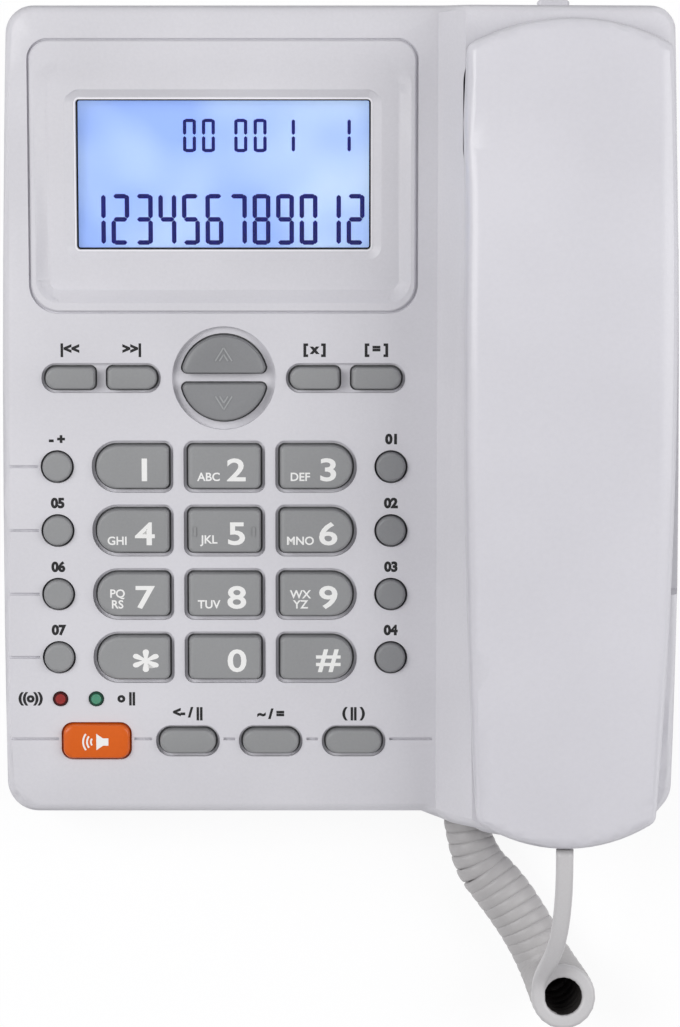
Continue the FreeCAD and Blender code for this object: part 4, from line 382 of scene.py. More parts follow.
class Finish(Enum):
    """The finishes on the telephone."""

    # White ABS with a fine etched grain: a soft even sheen, no mirror.
    WHITE = Moulded("white_abs_etched", "#dcdbe0", "#d3d2d7", 0.42, 0.8, 0.012, coat=0.05)
    # The same ABS painted whiter on an edge, as a highlight.
    WHITE_HIGHLIT = Moulded("white_abs_painted_highlight", "#f4f3f7", "#efeef2", 0.2, 1.2, 0.003, coat=0.2)
    # The same ABS on the handset, polished a little more by the mould.
    SHELL = Moulded("white_abs_smooth", "#dddce2", "#d6d5db", 0.34, 1.2, 0.006, coat=0.08)
    # Grey ABS keys: satin, darker in the grain.
    GREY = Moulded("grey_abs_keys", "#98999a", "#8f9091", 0.45, 0.6, 0.01)
    # A deeper batch of the same ABS, on the half-round keys and the right row.
    GREY_DEEP = Moulded("grey_abs_deep", "#8d8e90", "#848587", 0.45, 0.6, 0.01)
    # The same ABS on the raised arrows, painted a lighter grey as a highlight.
    GREY_HIGHLIT = Moulded("grey_abs_painted_highlight", "#a9abac", "#a2a4a5", 0.35, 0.6, 0.004)
    # Orange polycarbonate: glossy, with a faint painted glow.
    ORANGE = Moulded("orange_polycarbonate_painted_glow", "#d65e0a", "#cc5608", 0.3, 1.0, 0.004, glow=0.08)
    # White pad-printed ink: flat and a little thick.
    INK_WHITE = Moulded("white_print_ink", "#f4f4f2", "#ececea", 0.6, 0.4, 0.002)
    # Black pad-printed ink.
    INK_BLACK = Moulded("black_print_ink", "#18181a", "#101012", 0.6, 0.4, 0.002)
    # Acrylic lens over the display: clear, with a coat against glare.
    LENS = Clear("clear_acrylic", "#f6f9ff", 0.02, glare=0.12)
    # Clear modular plug: polycarbonate, faintly milky.
    PLUG = Clear("clear_polycarbonate", "#eef0f2", 0.08, 1.58)
    # The lit display: pale blue with brighter patches.
    PANEL = LitPanel("backlit_display", "#cee4ff", "#a2c0fb", 0.56)
    # The light guide behind it.
    GUIDE = LitPanel("milky_light_guide", "#e6eefc", "#d6e2f6", 0.2)
    # Display segments: navy, flat.
    SEGMENT = Moulded("navy_display_segment", "#080c84", "#060970", 0.6, 0.5, 0.001, ior=1.05, glow=0.12)
    # Green fibreglass board with solder mask.
    BOARD = Moulded("green_solder_mask", "#1f5b3a", "#184a2e", 0.35, 0.5, 0.004)
    # Dark grey rubber feet: matt.
    RUBBER = Moulded("dark_rubber", "#3a3a3c", "#2f2f31", 0.8, 0.7, 0.02)
    # Silicone keypad sheet: pale grey, waxy.
    SILICONE = Moulded("grey_silicone", "#b9bbbd", "#adafb1", 0.6, 1.0, 0.006, subsurface=0.1)
    # Black nylon inner parts.
    NYLON = Moulded("black_nylon", "#1c1c1e", "#141416", 0.5, 0.6, 0.008)
    # Plated steel screws.
    STEEL = TurnedSteel("zinc_plated_steel", "#b9bcc0", 0.35, 0.25)
    # Grey PVC cord: satin, faintly ribbed by the die; the straight tail keeps this lighter grey as painted
    # light.
    CORD = Moulded("grey_pvc_cord", "#cfcecf", "#c6c4c5", 0.4, 0.5, 0.006)
    # The same cord on the curls, painted a darker grey as shade.
    CORD_SHADED_CURLS = Moulded("pvc_cord_painted_shade", "#b8b6b6", "#adabab", 0.45, 0.5, 0.006)
    # The inner side of the curls: a near-black painted shade, standing in for the dark down the hole and
    # between the turns.
    CORD_PAINTED_DARK = Moulded("pvc_cord_painted_shade_dark", "#2c2826", "#1e1a18", 0.8, 0.5, 0.006)
    # A thin dark ring round the display's window, under the lens: the panel's dark border, with painted
    # shade from the bezel.
    DARK_BORDER = Moulded("dark_border_painted_shade", "#15161c", "#0e0f14", 0.8, 0.4, 0.01)
    # Rims of the two lamps, painted darker as the shade at the edges of their domes.
    RED_RIM_SHADE = Moulded("red_lamp_painted_rim_shade", "#43090a", "#360607", 0.2, 0.8, 0.002)
    GREEN_RIM_SHADE = Moulded("green_lamp_painted_rim_shade", "#1c4535", "#143528", 0.2, 0.8, 0.002)
    # Red and green diffused lamp lenses.
    RED = Moulded("red_lamp_epoxy", "#9c3432", "#842420", 0.12, 0.8, 0.002, subsurface=0.3)
    GREEN = Moulded("green_lamp_epoxy", "#55987c", "#3f7a60", 0.12, 0.8, 0.002, subsurface=0.3)


class Workshop:
    """Makes meshes, objects and finishes, and puts them on the frame."""

    def __init__(self) -> None:
        """Load the frame and start with no finish made."""
        self.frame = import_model()
        self.cad_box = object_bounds()
        self.made: dict[Finish, Material] = {}

    def finish(self, choice: Finish) -> Material:
        """Give the material of a finish, made once.

        Args:
            choice: The finish.

        Returns:
            Its material.
        """
        if choice not in self.made:
            self.made[choice] = choice.value.make()
        return self.made[choice]

    def paint(self, piece: Object, choice: Finish) -> None:
        """Give every face of a piece one finish."""
        piece.data.materials.clear()
        piece.data.materials.append(self.finish(choice))

    def paint_nodes(self, finishes: dict[str, Finish]) -> None:
        """Finish solids that stay as they are, by name."""
        for node, choice in finishes.items():
            self.paint(self.frame["nodes"][node], choice)

    def body_of(self, node: str) -> str:
        """Return the body that a solid belongs to."""
        return body_of(self.frame["nodes"][node])[0]

    def piece(
        self, title: str, mesh: Mesh, choice: Finish, body: str | None, slot: str
    ) -> Object:
        """Make an object of a mesh, finish it and let it ride on a body.

        Args:
            title: The object's name.
            mesh: Its mesh, in place.
            choice: Its finish.
            body: The body it moves with, or None for a piece that blends between bodies.
            slot: The record's material slot; not used.

        Returns:
            The object.
        """
        mesh.name = title
        made = bpy.data.objects.new(title, mesh)
        bpy.context.scene.collection.objects.link(made)
        self.paint(made, choice)
        if body:
            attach(made, body)
        LOG.info("piece %s: %d faces", title, len(mesh.polygons))
        return made

    def smooth_copy(
        self, node: str, title: str, choice: Finish, slot: str, crease: float = 50.0
    ) -> Object:
        """Stand a smoothly shaded copy of a solid in its place.

        Args:
            node: The solid's name.
            title: The copy's name.
            choice: Its finish.
            slot: The record's material slot; not used.
            crease: The angle in degrees from which an edge stays sharp.

        Returns:
            The copy.
        """
        mesh = self.frame["nodes"][node].data.copy()
        work = bmesh.new()
        work.from_mesh(mesh)
        bmesh.ops.remove_doubles(work, verts=work.verts, dist=WELD * MM)
        work.to_mesh(mesh)
        work.free()
        if "custom_normal" in mesh.attributes:
            mesh.attributes.remove(mesh.attributes["custom_normal"])
        mesh.shade_smooth()
        mesh.set_sharp_from_angle(angle=math.radians(crease))
        made = self.piece(title, mesh, choice, self.body_of(node), slot)
        weighted = made.modifiers.new("weighted", "WEIGHTED_NORMAL")
        weighted.keep_sharp = True
        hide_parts(node)
        return made

    def nudge(self, piece: Object, rule: Callable[[Vector], Vector]) -> None:
        """Shift each corner of a piece by what a rule gives for its place, in millimetres."""
        for vert in piece.data.vertices:
            vert.co += rule(vert.co / MM) * MM

    def shrink_above(
        self, piece: Object, middle: Pair, shares: Pair, level: float
    ) -> None:
        """Draw in the part of a piece that stands above a level of the deck.

        Args:
            piece: The piece.
            middle: The place across and along the deck that stays.
            shares: What is left of the distances across and along.
            level: The height over the deck from which it is drawn in.
        """
        into = DECK.into(*middle)
        work = bmesh.new()
        work.from_mesh(piece.data)
        bmesh.ops.transform(work, matrix=into, verts=work.verts)
        upper = [vert for vert in work.verts if vert.co.z > level]
        bmesh.ops.scale(work, vec=(*shares, 1), verts=upper)
        bmesh.ops.transform(work, matrix=into.inverted(), verts=work.verts)
        work.to_mesh(piece.data)
        work.free()


def mesh_from(work: BMesh, place: Matrix | None = None) -> Mesh:
    """Turn a bmesh in millimetres into a mesh in metres.

    Args:
        work: The bmesh, which is freed.
        place: A matrix in millimetres that is applied first.

    Returns:
        The mesh.
    """
    scale = Matrix.Scale(MM, 4)
    bmesh.ops.transform(work, matrix=scale @ (place or Matrix()), verts=work.verts)
    bmesh.ops.recalc_face_normals(work, faces=work.faces)
    mesh = bpy.data.meshes.new("mesh")
    work.to_mesh(mesh)
    work.free()
    return mesh


def only(parts: Iterable[object], kind: type) -> list:
    """Return the parts of a bmesh that are of one kind."""
    return [part for part in parts if isinstance(part, kind)]


def mesh_of_curve(curve: Curve) -> Mesh:
    """Turn a curve or a text into a mesh.

    Args:
        curve: The curve, which is removed.

    Returns:
        The mesh.
    """
    holder = bpy.data.objects.new("curve", curve)
    bpy.context.scene.collection.objects.link(holder)
    bpy.context.view_layer.update()
    mesh = bpy.data.meshes.new_from_object(holder.evaluated_get(bpy.context.evaluated_depsgraph_get()))
    bpy.data.objects.remove(holder)
    bpy.data.curves.remove(curve)
    return mesh


def add_bar(
    work: BMesh, length: float, width: float, height: float, place: Matrix, point: float = 0.0
) -> None:
    """Add a flat bar that lies along X.

    Args:
        work: The bmesh to add to.
        length: Its length.
        width: Its width.
        height: Its thickness, upwards from the place.
        place: Where its middle goes.
        point: How far its ends are cut back to a point.
    """
    size = Matrix.Diagonal((length, width, height, 1))
    lift = Matrix.Translation((0, 0, height / 2))
    verts = bmesh.ops.create_cube(work, size=1.0, matrix=lift @ size)["verts"]
    if point:
        upright = {
            edge
            for vert in verts
            for edge in vert.link_edges
            if abs(edge.verts[0].co.z - edge.verts[1].co.z) > height / 2
        }
        bevelled = bmesh.ops.bevel(
            work, geom=list(upright), offset=point, offset_type="OFFSET", affect="EDGES",
            segments=1, profile=0.5, material=-1,
        )
        verts = list({vert for face in bevelled["faces"] for vert in face.verts})
    bmesh.ops.transform(work, matrix=place, verts=verts)


def text_bmesh(words: str, height: float, weight: float, thickness: float) -> BMesh:
    """Return words as a thin bmesh in millimetres, centred on the origin.

    Args:
        words: The characters.
        height: The height of a capital letter.
        weight: How far the strokes are thickened on each side.
        thickness: The thickness of the print.

    Returns:
        The bmesh.
    """
    curve = bpy.data.curves.new("words", "FONT")
    curve.body = words
    curve.size = height * CAPITAL_SHARE
    curve.align_x = "CENTER"
    curve.align_y = "CENTER"
    curve.offset = weight
    curve.extrude = thickness / 2
    curve.resolution_u = LETTER_STEPS
    mesh = mesh_of_curve(curve)
    work = bmesh.new()
    work.from_mesh(mesh)
    bpy.data.meshes.remove(mesh)
    bmesh.ops.remove_doubles(work, verts=work.verts, dist=LETTER_WELD)
    for axis in (0, 1):
        reach = [vert.co[axis] for vert in work.verts]
        shift = Vector((0, 0, 0))
        shift[axis] = -(min(reach) + max(reach)) / 2
        bmesh.ops.translate(work, vec=shift, verts=work.verts)
    return work


@dataclass(frozen=True)
class DeckFrame:
    """The sloping deck: across, up the slope and out of it, in millimetres."""

    tilt: float = 8.0
    front: float = -100.1
    height: float = 27.0

    def at(self, across: float, along: float, out: float) -> Matrix:
        """Return the matrix of a place on the deck, turned with it.

        Args:
            across: The distance to the right of the middle.
            along: The distance up the slope from the front edge.
            out: The distance out of the deck.

        Returns:
            The matrix in millimetres.
        """
        base = Matrix.Translation((0, self.front, self.height))
        turn = Matrix.Rotation(math.radians(self.tilt), 4, "X")
        return base @ turn @ Matrix.Translation((across, along, out))

    def into(self, across: float, along: float) -> Matrix:
        """Return the matrix from metres into the millimetres of a place on the deck."""
        return (Matrix.Scale(MM, 4) @ self.at(across, along, 0)).inverted()

    def spot(self, place: Vector) -> Vector:
        """Return a place in millimetres as distances across, along and out of the deck."""
        return self.at(0, 0, 0).inverted() @ place

    def down(self, depth: float) -> Vector:
        """Return a shift into the deck."""
        return self.at(0, 0, 0).to_3x3() @ Vector((0, 0, -depth))


DECK = DeckFrame()


@dataclass(frozen=True)
class Ring:
    """A flat ring with rounded corners on the deck or sunk in it, with its height above its level."""

    title: str
    finish: Finish
    slot: str
    middle: Pair
    size: Pair
    corner: float
    stroke: float
    height: float
    level: float
    tilt: float = 0.0

    def build(self, shop: Workshop) -> None:
        """Make the ring on the base.

        Args:
            shop: The workshop that finishes it.
        """
        work = bmesh.new()
        verts = bmesh.ops.create_grid(work, x_segments=1, y_segments=1, size=0.5)["verts"]
        bmesh.ops.scale(work, vec=(*self.size, 1), verts=verts)
        rounded = bmesh.ops.bevel(
            work, geom=verts, offset=self.corner, offset_type="OFFSET", affect="VERTICES",
            segments=CORNER_STEPS, profile=0.5, material=-1,
        )
        sheet = rounded["verts"][0].link_faces[0]
        band = bmesh.ops.inset_region(work, faces=[sheet], thickness=self.stroke, use_boundary=True)["faces"]
        bmesh.ops.delete(work, geom=[sheet], context="FACES")
        raised = bmesh.ops.extrude_face_region(work, geom=band, use_keep_orig=True)["geom"]
        lifted = only(raised, BMVert)
        bmesh.ops.translate(work, vec=(0, 0, self.height), verts=lifted)
        place = DECK.at(*self.middle, self.level) @ Matrix.Rotation(math.radians(self.tilt), 4, "X")
        shop.piece(self.title, mesh_from(work, place), self.finish, "base", self.slot)


@dataclass
class Studio:
    """The pale floor, the soft light and the camera straight above."""

    scene: Scene
    eye: Triple = (0.0, -23.2, 950.0)
    focal_pixels: float = 3571.0
    lamps: tuple[tuple[str, Triple, float, float], ...] = (
        ("left_softbox", (-900.0, 200.0, 1150.0), 800.0, 10.6),
        ("right_softbox", (860.0, 60.0, 760.0), 700.0, 5.3),
    )
    room: str = "#f6f5f8"
    room_light: float = 0.4
    paper: str = "#f2f2f4"
    floor_size: float = 6000.0
    floor_steps: int = 4
    white_share: float = 0.88
    white_glow: float = 1.02

    def build(self) -> None:
        """Make the camera, the world, the floor and the large soft lamps that face the telephone."""
        self.scene.view_settings.view_transform = "Standard"
        self.add_camera()
        self.add_world()
        self.add_floor()
        for title, place, size, power in self.lamps:
            lamp = bpy.data.lights.new(title, "AREA")
            lamp.size = size * MM
            lamp.energy = power
            holder = bpy.data.objects.new(title, lamp)
            holder.location = Vector(place) * MM
            holder.rotation_euler = (-Vector(place)).to_track_quat("-Z", "Y").to_euler()
            self.scene.collection.objects.link(holder)

    def add_camera(self) -> None:
        """Look straight down from above the middle of the picture."""
        camera = bpy.data.cameras.new("camera")
        camera.sensor_width = SENSOR
        camera.lens = self.focal_pixels * SENSOR / max(IMAGE)
        holder = bpy.data.objects.new("camera", camera)
        holder.location = Vector(self.eye) * MM
        self.scene.collection.objects.link(holder)
        self.scene.camera = holder

    def add_world(self) -> None:
        """Give the room an even light, and white where the camera sees past the floor."""
        world = bpy.data.worlds.new("room")
        world.use_nodes = True
        tree = world.node_tree
        tree.nodes.clear()
        path = add_node(tree, "ShaderNodeLightPath")
        settings = {"Color": linear(self.room), "Strength": self.room_light}
        light = add_node(tree, "ShaderNodeBackground", settings)
        white = add_node(tree, "ShaderNodeBackground", {"Color": WHITE, "Strength": 1.0})
        links = {0: path.outputs["Is Camera Ray"], 1: light.outputs[0], 2: white.outputs[0]}
        mix = add_node(tree, "ShaderNodeMixShader", links=links)
        add_node(tree, "ShaderNodeOutputWorld", links={"Surface": mix.outputs[0]})
        self.scene.world = world

    def add_floor(self) -> None:
        """Lay a pale floor that the camera sees as white, with the telephone's shadow."""
        work = bmesh.new()
        steps = self.floor_steps
        bmesh.ops.create_grid(work, x_segments=steps, y_segments=steps, size=self.floor_size / 2)
        mesh = mesh_from(work)
        material = bpy.data.materials.new("pale_paper")
        material.use_nodes = True
        tree = material.node_tree
        tree.nodes.clear()
        path = add_node(tree, "ShaderNodeLightPath")
        seen = path.outputs["Is Camera Ray"]
        for kind in ("Is Glossy Ray", "Is Transmission Ray"):
            links = {0: seen, 1: path.outputs[kind]}
            seen = add_node(tree, "ShaderNodeMath", {"operation": "MAXIMUM"}, links).outputs[0]
        share = add_node(tree, "ShaderNodeMath", {"operation": "MULTIPLY"}, {0: seen})
        share.inputs[1].default_value = self.white_share
        paper = add_node(tree, "ShaderNodeBsdfDiffuse", {"Color": linear(self.paper)})
        white = add_node(tree, "ShaderNodeEmission", {"Color": WHITE, "Strength": self.white_glow})
        links = {0: share.outputs[0], 1: paper.outputs[0], 2: white.outputs[0]}
        mix = add_node(tree, "ShaderNodeMixShader", links=links)
        add_node(tree, "ShaderNodeOutputMaterial", links={"Surface": mix.outputs[0]})
        mesh.materials.append(material)
        floor = bpy.data.objects.new("floor", mesh)
        self.scene.collection.objects.link(floor)
        floor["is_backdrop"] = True


@dataclass
class CurlyCord:
    """The curly cord from the base to the handset: a short lead, a coil and a tail."""

    shop: Workshop
    route: tuple[Triple, ...] = (
        (31.6, -83.0, 6.9), (31.8, -110.5, 6.9), (46.0, -126.0, 7.6),
        (57.9, -148.4, 7.8), (57.9, -148.4, 24.9),
    )
    plug_face: Triple = (31.6, -79.0, 9.7)
    socket_face: Triple = (57.2, -108.69, 41.44)
    socket_tilt: float = 8.0
    turns: float = 31.8
    leave_angle: float = 145.0
    coil_radius: float = 3.8
    swell: float = 1.8
    start_radius: float = 2.8
    ramp: float = 9.0
    flare: float = 1.1
    flare_from: float = 0.72
    waver: float = 0.22
    wavers: float = 2.6
    crowd: float = 0.6
    crowd_span: float = 0.08
    half_thick: float = 1.8
    tail_thick: float = 1.2
    closing: float = 1.2
    least_wound: float = 1e-6
    half_wide: float = 1.7
    tail_half: float = 2.2
    squareness: float = 5.5
    inner_from: float = 0.3
    unshaded_turns: float = 0.8
    bright_turns: float = 1.06
    lead: float = 4.0
    plug_push: float = 1.1
    pull_out: float = 9.0
    pull_in: float = 30.0
    blend_start: Triple = (0.0572, -0.13, 0.0175)
    blend_end: Triple = (0.0572, -0.13, 0.0405)
    axis_steps: int = 60
    per_turn: int = 28
    tail_steps: int = 40
    ring_points: int = 16

    def axis_points(self) -> list[Vector]:
        """Follow the coil's middle line, a smooth curve along the route.

        Returns:
            Points on it.
        """
        curve = bpy.data.curves.new("coil_axis", "CURVE")
        curve.dimensions = "3D"
        curve.resolution_u = self.axis_steps
        spline = curve.splines.new("NURBS")
        spline.points.add(len(self.route) - 1)
        for point, place in zip(spline.points, self.route):
            point.co = (*place, 1.0)
        spline.order_u = 3
        spline.use_endpoint_u = True
        mesh = mesh_of_curve(curve)
        points = [vert.co.copy() for vert in mesh.vertices]
        bpy.data.meshes.remove(mesh)
        return points

    def coil_line(self) -> tuple[list[Vector], list[Vector], list[float]]:
        """Wind the wire of the coil round its middle line.

        Returns:
            Points along the wire, the middle line beside each and half the wire's thickness there.
        """
        axis = self.axis_points()
        travel = [0.0, *accumulate((last - first).length for first, last in zip(axis, axis[1:]))]
        whole = 2 * math.pi * math.floor(self.turns) + math.pi / 2 - math.radians(self.leave_angle)
        count = int(self.turns * self.per_turn)
        step = travel[-1] / count
        line, middles, halves = [], [], []
        side = Vector((1, 0, 0))
        slot = 0
        stops = [travel[-1] * number / count for number in range(count + 1)]
        gains = []
        for along in stops:
            crowded = rise(along / travel[-1], self.flare_from, self.crowd_span)
            gains.append(rise(along, 0, self.ramp) * (1 + self.crowd * crowded))
        shares = [0.0, *accumulate(gains[:-1])]
        for along, gain, gained in zip(stops, gains, shares):
            while slot < len(axis) - 2 and travel[slot + 1] < along:
                slot += 1
            part = (along - travel[slot]) / (travel[slot + 1] - travel[slot])
            middle = axis[slot].lerp(axis[slot + 1], part)
            ahead = (axis[slot + 1] - axis[slot]).normalized()
            side = (side - ahead * side.dot(ahead)).normalized()
            up = ahead.cross(side)
            share = along / travel[-1]
            radius = self.start_radius
            radius += (self.coil_radius - self.start_radius) * rise(along, 0, self.ramp)
            radius += self.swell * rise(share, 0, self.flare_from)
            radius += self.waver * math.sin(2 * math.pi * self.wavers * share)
            radius += self.flare * rise(share, self.flare_from, 1 - self.flare_from)
            angle = math.pi / 2 - whole * gained / shares[-1]
            line.append(middle + side * (radius * math.cos(angle)) + up * (radius * math.sin(angle)))
            middles.append(middle)
            wound = whole * gain / shares[-1] / (2 * math.pi)
            halves.append(min(self.half_thick, self.closing * step / (2 * max(wound, self.least_wound))))
        return line, middles, halves

    def tail_line(self, start: Vector, ahead: Vector) -> list[Vector]:
        """Lead the tail from the last turn to the handset's plug.

        Args:
            start: The end of the coil.
            ahead: The wire's direction there.

        Returns:
            The points after the start.
        """
        tilt = math.radians(self.socket_tilt)
        into = Vector((0, math.cos(tilt), math.sin(tilt)))
        socket = Vector(self.socket_face)
        end = socket - into * self.lead
        knots = (start, start + ahead * self.pull_out, end - into * self.pull_in, end)
        points = []
        for number in range(1, self.tail_steps + 1):
            share = number / self.tail_steps
            rest = 1 - share
            weights = (rest ** 3, 3 * rest ** 2 * share, 3 * rest * share ** 2, share ** 3)
            points.append(sum((knot * weight for knot, weight in zip(knots, weights)), Vector()))
        return points + [end.lerp(socket, 0.5), socket]

    def build(self) -> None:
        coil, middles, halves = self.coil_line()
        ahead = (coil[-1] - coil[-2]).normalized()
        tail = self.tail_line(coil[-1], ahead)
        plug = Vector(self.plug_face)
        line = [plug, plug.lerp(coil[0], 0.5)] + coil + tail
        outwards = [None, None] + middles + [None] * len(tail)
        halves = halves[:1] * 2 + halves + halves[-1:] * len(tail)
        work = bmesh.new()
        ring = bmesh.ops.create_circle(work, segments=self.ring_points, radius=1.0, cap_ends=False)["verts"]
        edges = list({edge for vert in ring for edge in vert.link_edges})
        for vert in ring:
            powers = [abs(part) ** self.squareness for part in vert.co.xy]
            vert.co /= sum(powers) ** (1 / self.squareness)
        before = Matrix()
        inner, wound = set(), set()
        up = Vector((0, 0, 1))
        for number, point in enumerate(line):
            ahead = (line[min(number + 1, len(line) - 1)] - line[max(number - 1, 0)]).normalized()
            away = point - outwards[number] if outwards[number] else up
            up = (away - ahead * away.dot(ahead)).normalized()
            flat = rise(number, len(coil) + 2, self.tail_steps / 2)
            wide = self.half_wide + (self.tail_half - self.half_wide) * flat
            place = Matrix.Translation(point) @ Matrix((ahead.cross(up), up, ahead)).transposed().to_4x4()
            thick = halves[number] + (self.tail_thick - halves[number]) * flat
            place = place @ Matrix.Diagonal((thick, wide, 1, 1))
            skin = []
            if number:
                grown = bmesh.ops.extrude_edge_only(work, edges=edges)["geom"]
                ring = only(grown, BMVert)
                edges = only(grown, BMEdge)
                skin = only(grown, BMFace)
            bmesh.ops.transform(work, matrix=place @ before.inverted(), verts=ring)
            # The curls, all but the last turns, get the darker painted shade; the tail stays lighter as
            # painted light.
            if number < len(coil) - self.bright_turns * self.per_turn:
                wound |= set(skin)
            # The inner side of the curls, all but the last turns, gets the near-black painted shade.
            if outwards[number] and number < len(coil) - self.unshaded_turns * self.per_turn:
                sunk = {face: (face.calc_center_median() - point).dot(up) for face in skin}
                inner |= {face for face, height in sunk.items() if height < -self.inner_from}
            before = place
        bmesh.ops.holes_fill(work, edges=[edge for edge in work.edges if edge.is_boundary], sides=0)
        shaded = [2 if face in inner else int(face in wound) for face in work.faces]
        mesh = mesh_from(work)
        mesh.shade_smooth()
        cord = self.shop.piece("cord_curls", mesh, Finish.CORD, None, "cord")
        # Slot 1 is the painted shade of the curls, slot 2 the near-black painted shade inside them.
        for choice in (Finish.CORD_SHADED_CURLS, Finish.CORD_PAINTED_DARK):
            mesh.materials.append(self.shop.finish(choice))
        mesh.polygons.foreach_set("material_index", shaded)
        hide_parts("curly_cord")
        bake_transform(cord, "base", "handset", start=self.blend_start, end=self.blend_end)
        tip = self.shop.smooth_copy("handset_plug", "plug_block", Finish.PLUG, "clear_plastic")
        self.shop.nudge(tip, lambda place: Vector((0, self.plug_push, 0)))


@dataclass
class Display:
    """The lit display with its two rows of seven-segment digits."""

    shop: Workshop
    surface: float = -6.69
    left: float = -64.1
    low: float = 145.85
    pitch: float = 5.98
    size: Pair = (4.55, 12.9)
    stroke: float = 1.15
    small_low: float = 169.3
    small_size: Pair = (3.3, 8.45)
    small_stroke: float = 0.85
    cut_back: float = 0.42
    short: float = 0.45
    thick: float = 0.05
    rows: Pair = (0.25, 0.75)
    rings: tuple[Ring, ...] = (
        Ring(
            "bezel_seam", Finish.WHITE, "white_plastic", (-29.5, 163.4), (99.4, 70.2),
            corner=6.6, stroke=1.8, height=0.9, level=-1.75,
        ),
        # A thin dark ring round the window: the panel's border with painted shade from the bezel.
        Ring(
            "display_border_shade", Finish.DARK_BORDER, "display", (-29.5, 163.8), (74.6, 38.0),
            corner=0.9, stroke=0.45, height=0.2, level=-5.19,
        ),
        # A whiter lip round the window: a painted highlight.
        Ring(
            "window_rim", Finish.WHITE_HIGHLIT, "white_plastic", (-29.5, 163.8), (75.5, 38.9),
            corner=1.35, stroke=0.45, height=0.6, level=-3.2, tilt=2.5,
        ),
    )
    rim_middle: Pair = (-29.5, 163.4)
    rim_from: float = -0.6
    rim_shrink: Pair = (0.993, 0.99)
    bezel_crease: float = 13.0
    number: str = "123456789012"
    clock: tuple[tuple[str, float], ...] = (
        ("0", -39.8), ("0", -35.0), ("0", -26.8), ("0", -21.9), ("1", -14.7), ("1", -0.55)
    )
    lit: tuple[tuple[str, str], ...] = (
        ("0", "abcdef"), ("1", "bc"), ("2", "abged"), ("3", "abgcd"), ("4", "fgbc"),
        ("5", "afgcd"), ("6", "afgedc"), ("7", "abc"), ("8", "abcdefg"), ("9", "abcdfg"),
    )

    def add_digit(self, work: BMesh, digit: str, corner: Pair, size: Pair, stroke: float) -> None:
        """Add the lit segments of one digit.

        Args:
            work: The bmesh to add to.
            digit: The digit.
            corner: Its left and lower edges on the deck.
            size: Its width and height.
            stroke: The width of a segment.
        """
        left, low = corner
        width, tall = size
        middle = left + width / 2
        inner = stroke / 2
        right = left + width - inner
        upper, lower = low + self.rows[1] * tall, low + self.rows[0] * tall
        spots = {
            "a": (middle, low + tall - inner, 0), "g": (middle, low + tall / 2, 0),
            "d": (middle, low + inner, 0), "b": (right, upper, 90), "c": (right, lower, 90),
            "f": (left + inner, upper, 90), "e": (left + inner, lower, 90),
        }
        for letter in dict(self.lit)[digit]:
            x, y, turn = spots[letter]
            place = DECK.at(x, y, self.surface) @ Matrix.Rotation(math.radians(turn), 4, "Z")
            length = tall / 2 - self.short * stroke if turn else width - stroke
            add_bar(work, length, stroke, self.thick, place, point=self.cut_back * stroke)

    def build(self) -> None:
        """Make the digits and finish the lens, the panel and its light."""
        work = bmesh.new()
        for number, digit in enumerate(self.number):
            corner = (self.left + number * self.pitch, self.low)
            self.add_digit(work, digit, corner, self.size, self.stroke)
        for digit, left in self.clock:
            self.add_digit(work, digit, (left, self.small_low), self.small_size, self.small_stroke)
        self.shop.piece("display_digits", mesh_from(work), Finish.SEGMENT, "base", "display")
        for ring in self.rings:
            ring.build(self.shop)
        self.shop.paint_nodes(
            {"display_window": Finish.LENS, "lcd_panel": Finish.PANEL, "backlight": Finish.GUIDE}
        )
        bezel = self.shop.smooth_copy(
            "display_bezel", "bezel_frame", Finish.WHITE, "white_plastic", self.bezel_crease
        )
        self.shop.shrink_above(bezel, self.rim_middle, self.rim_shrink, self.rim_from)


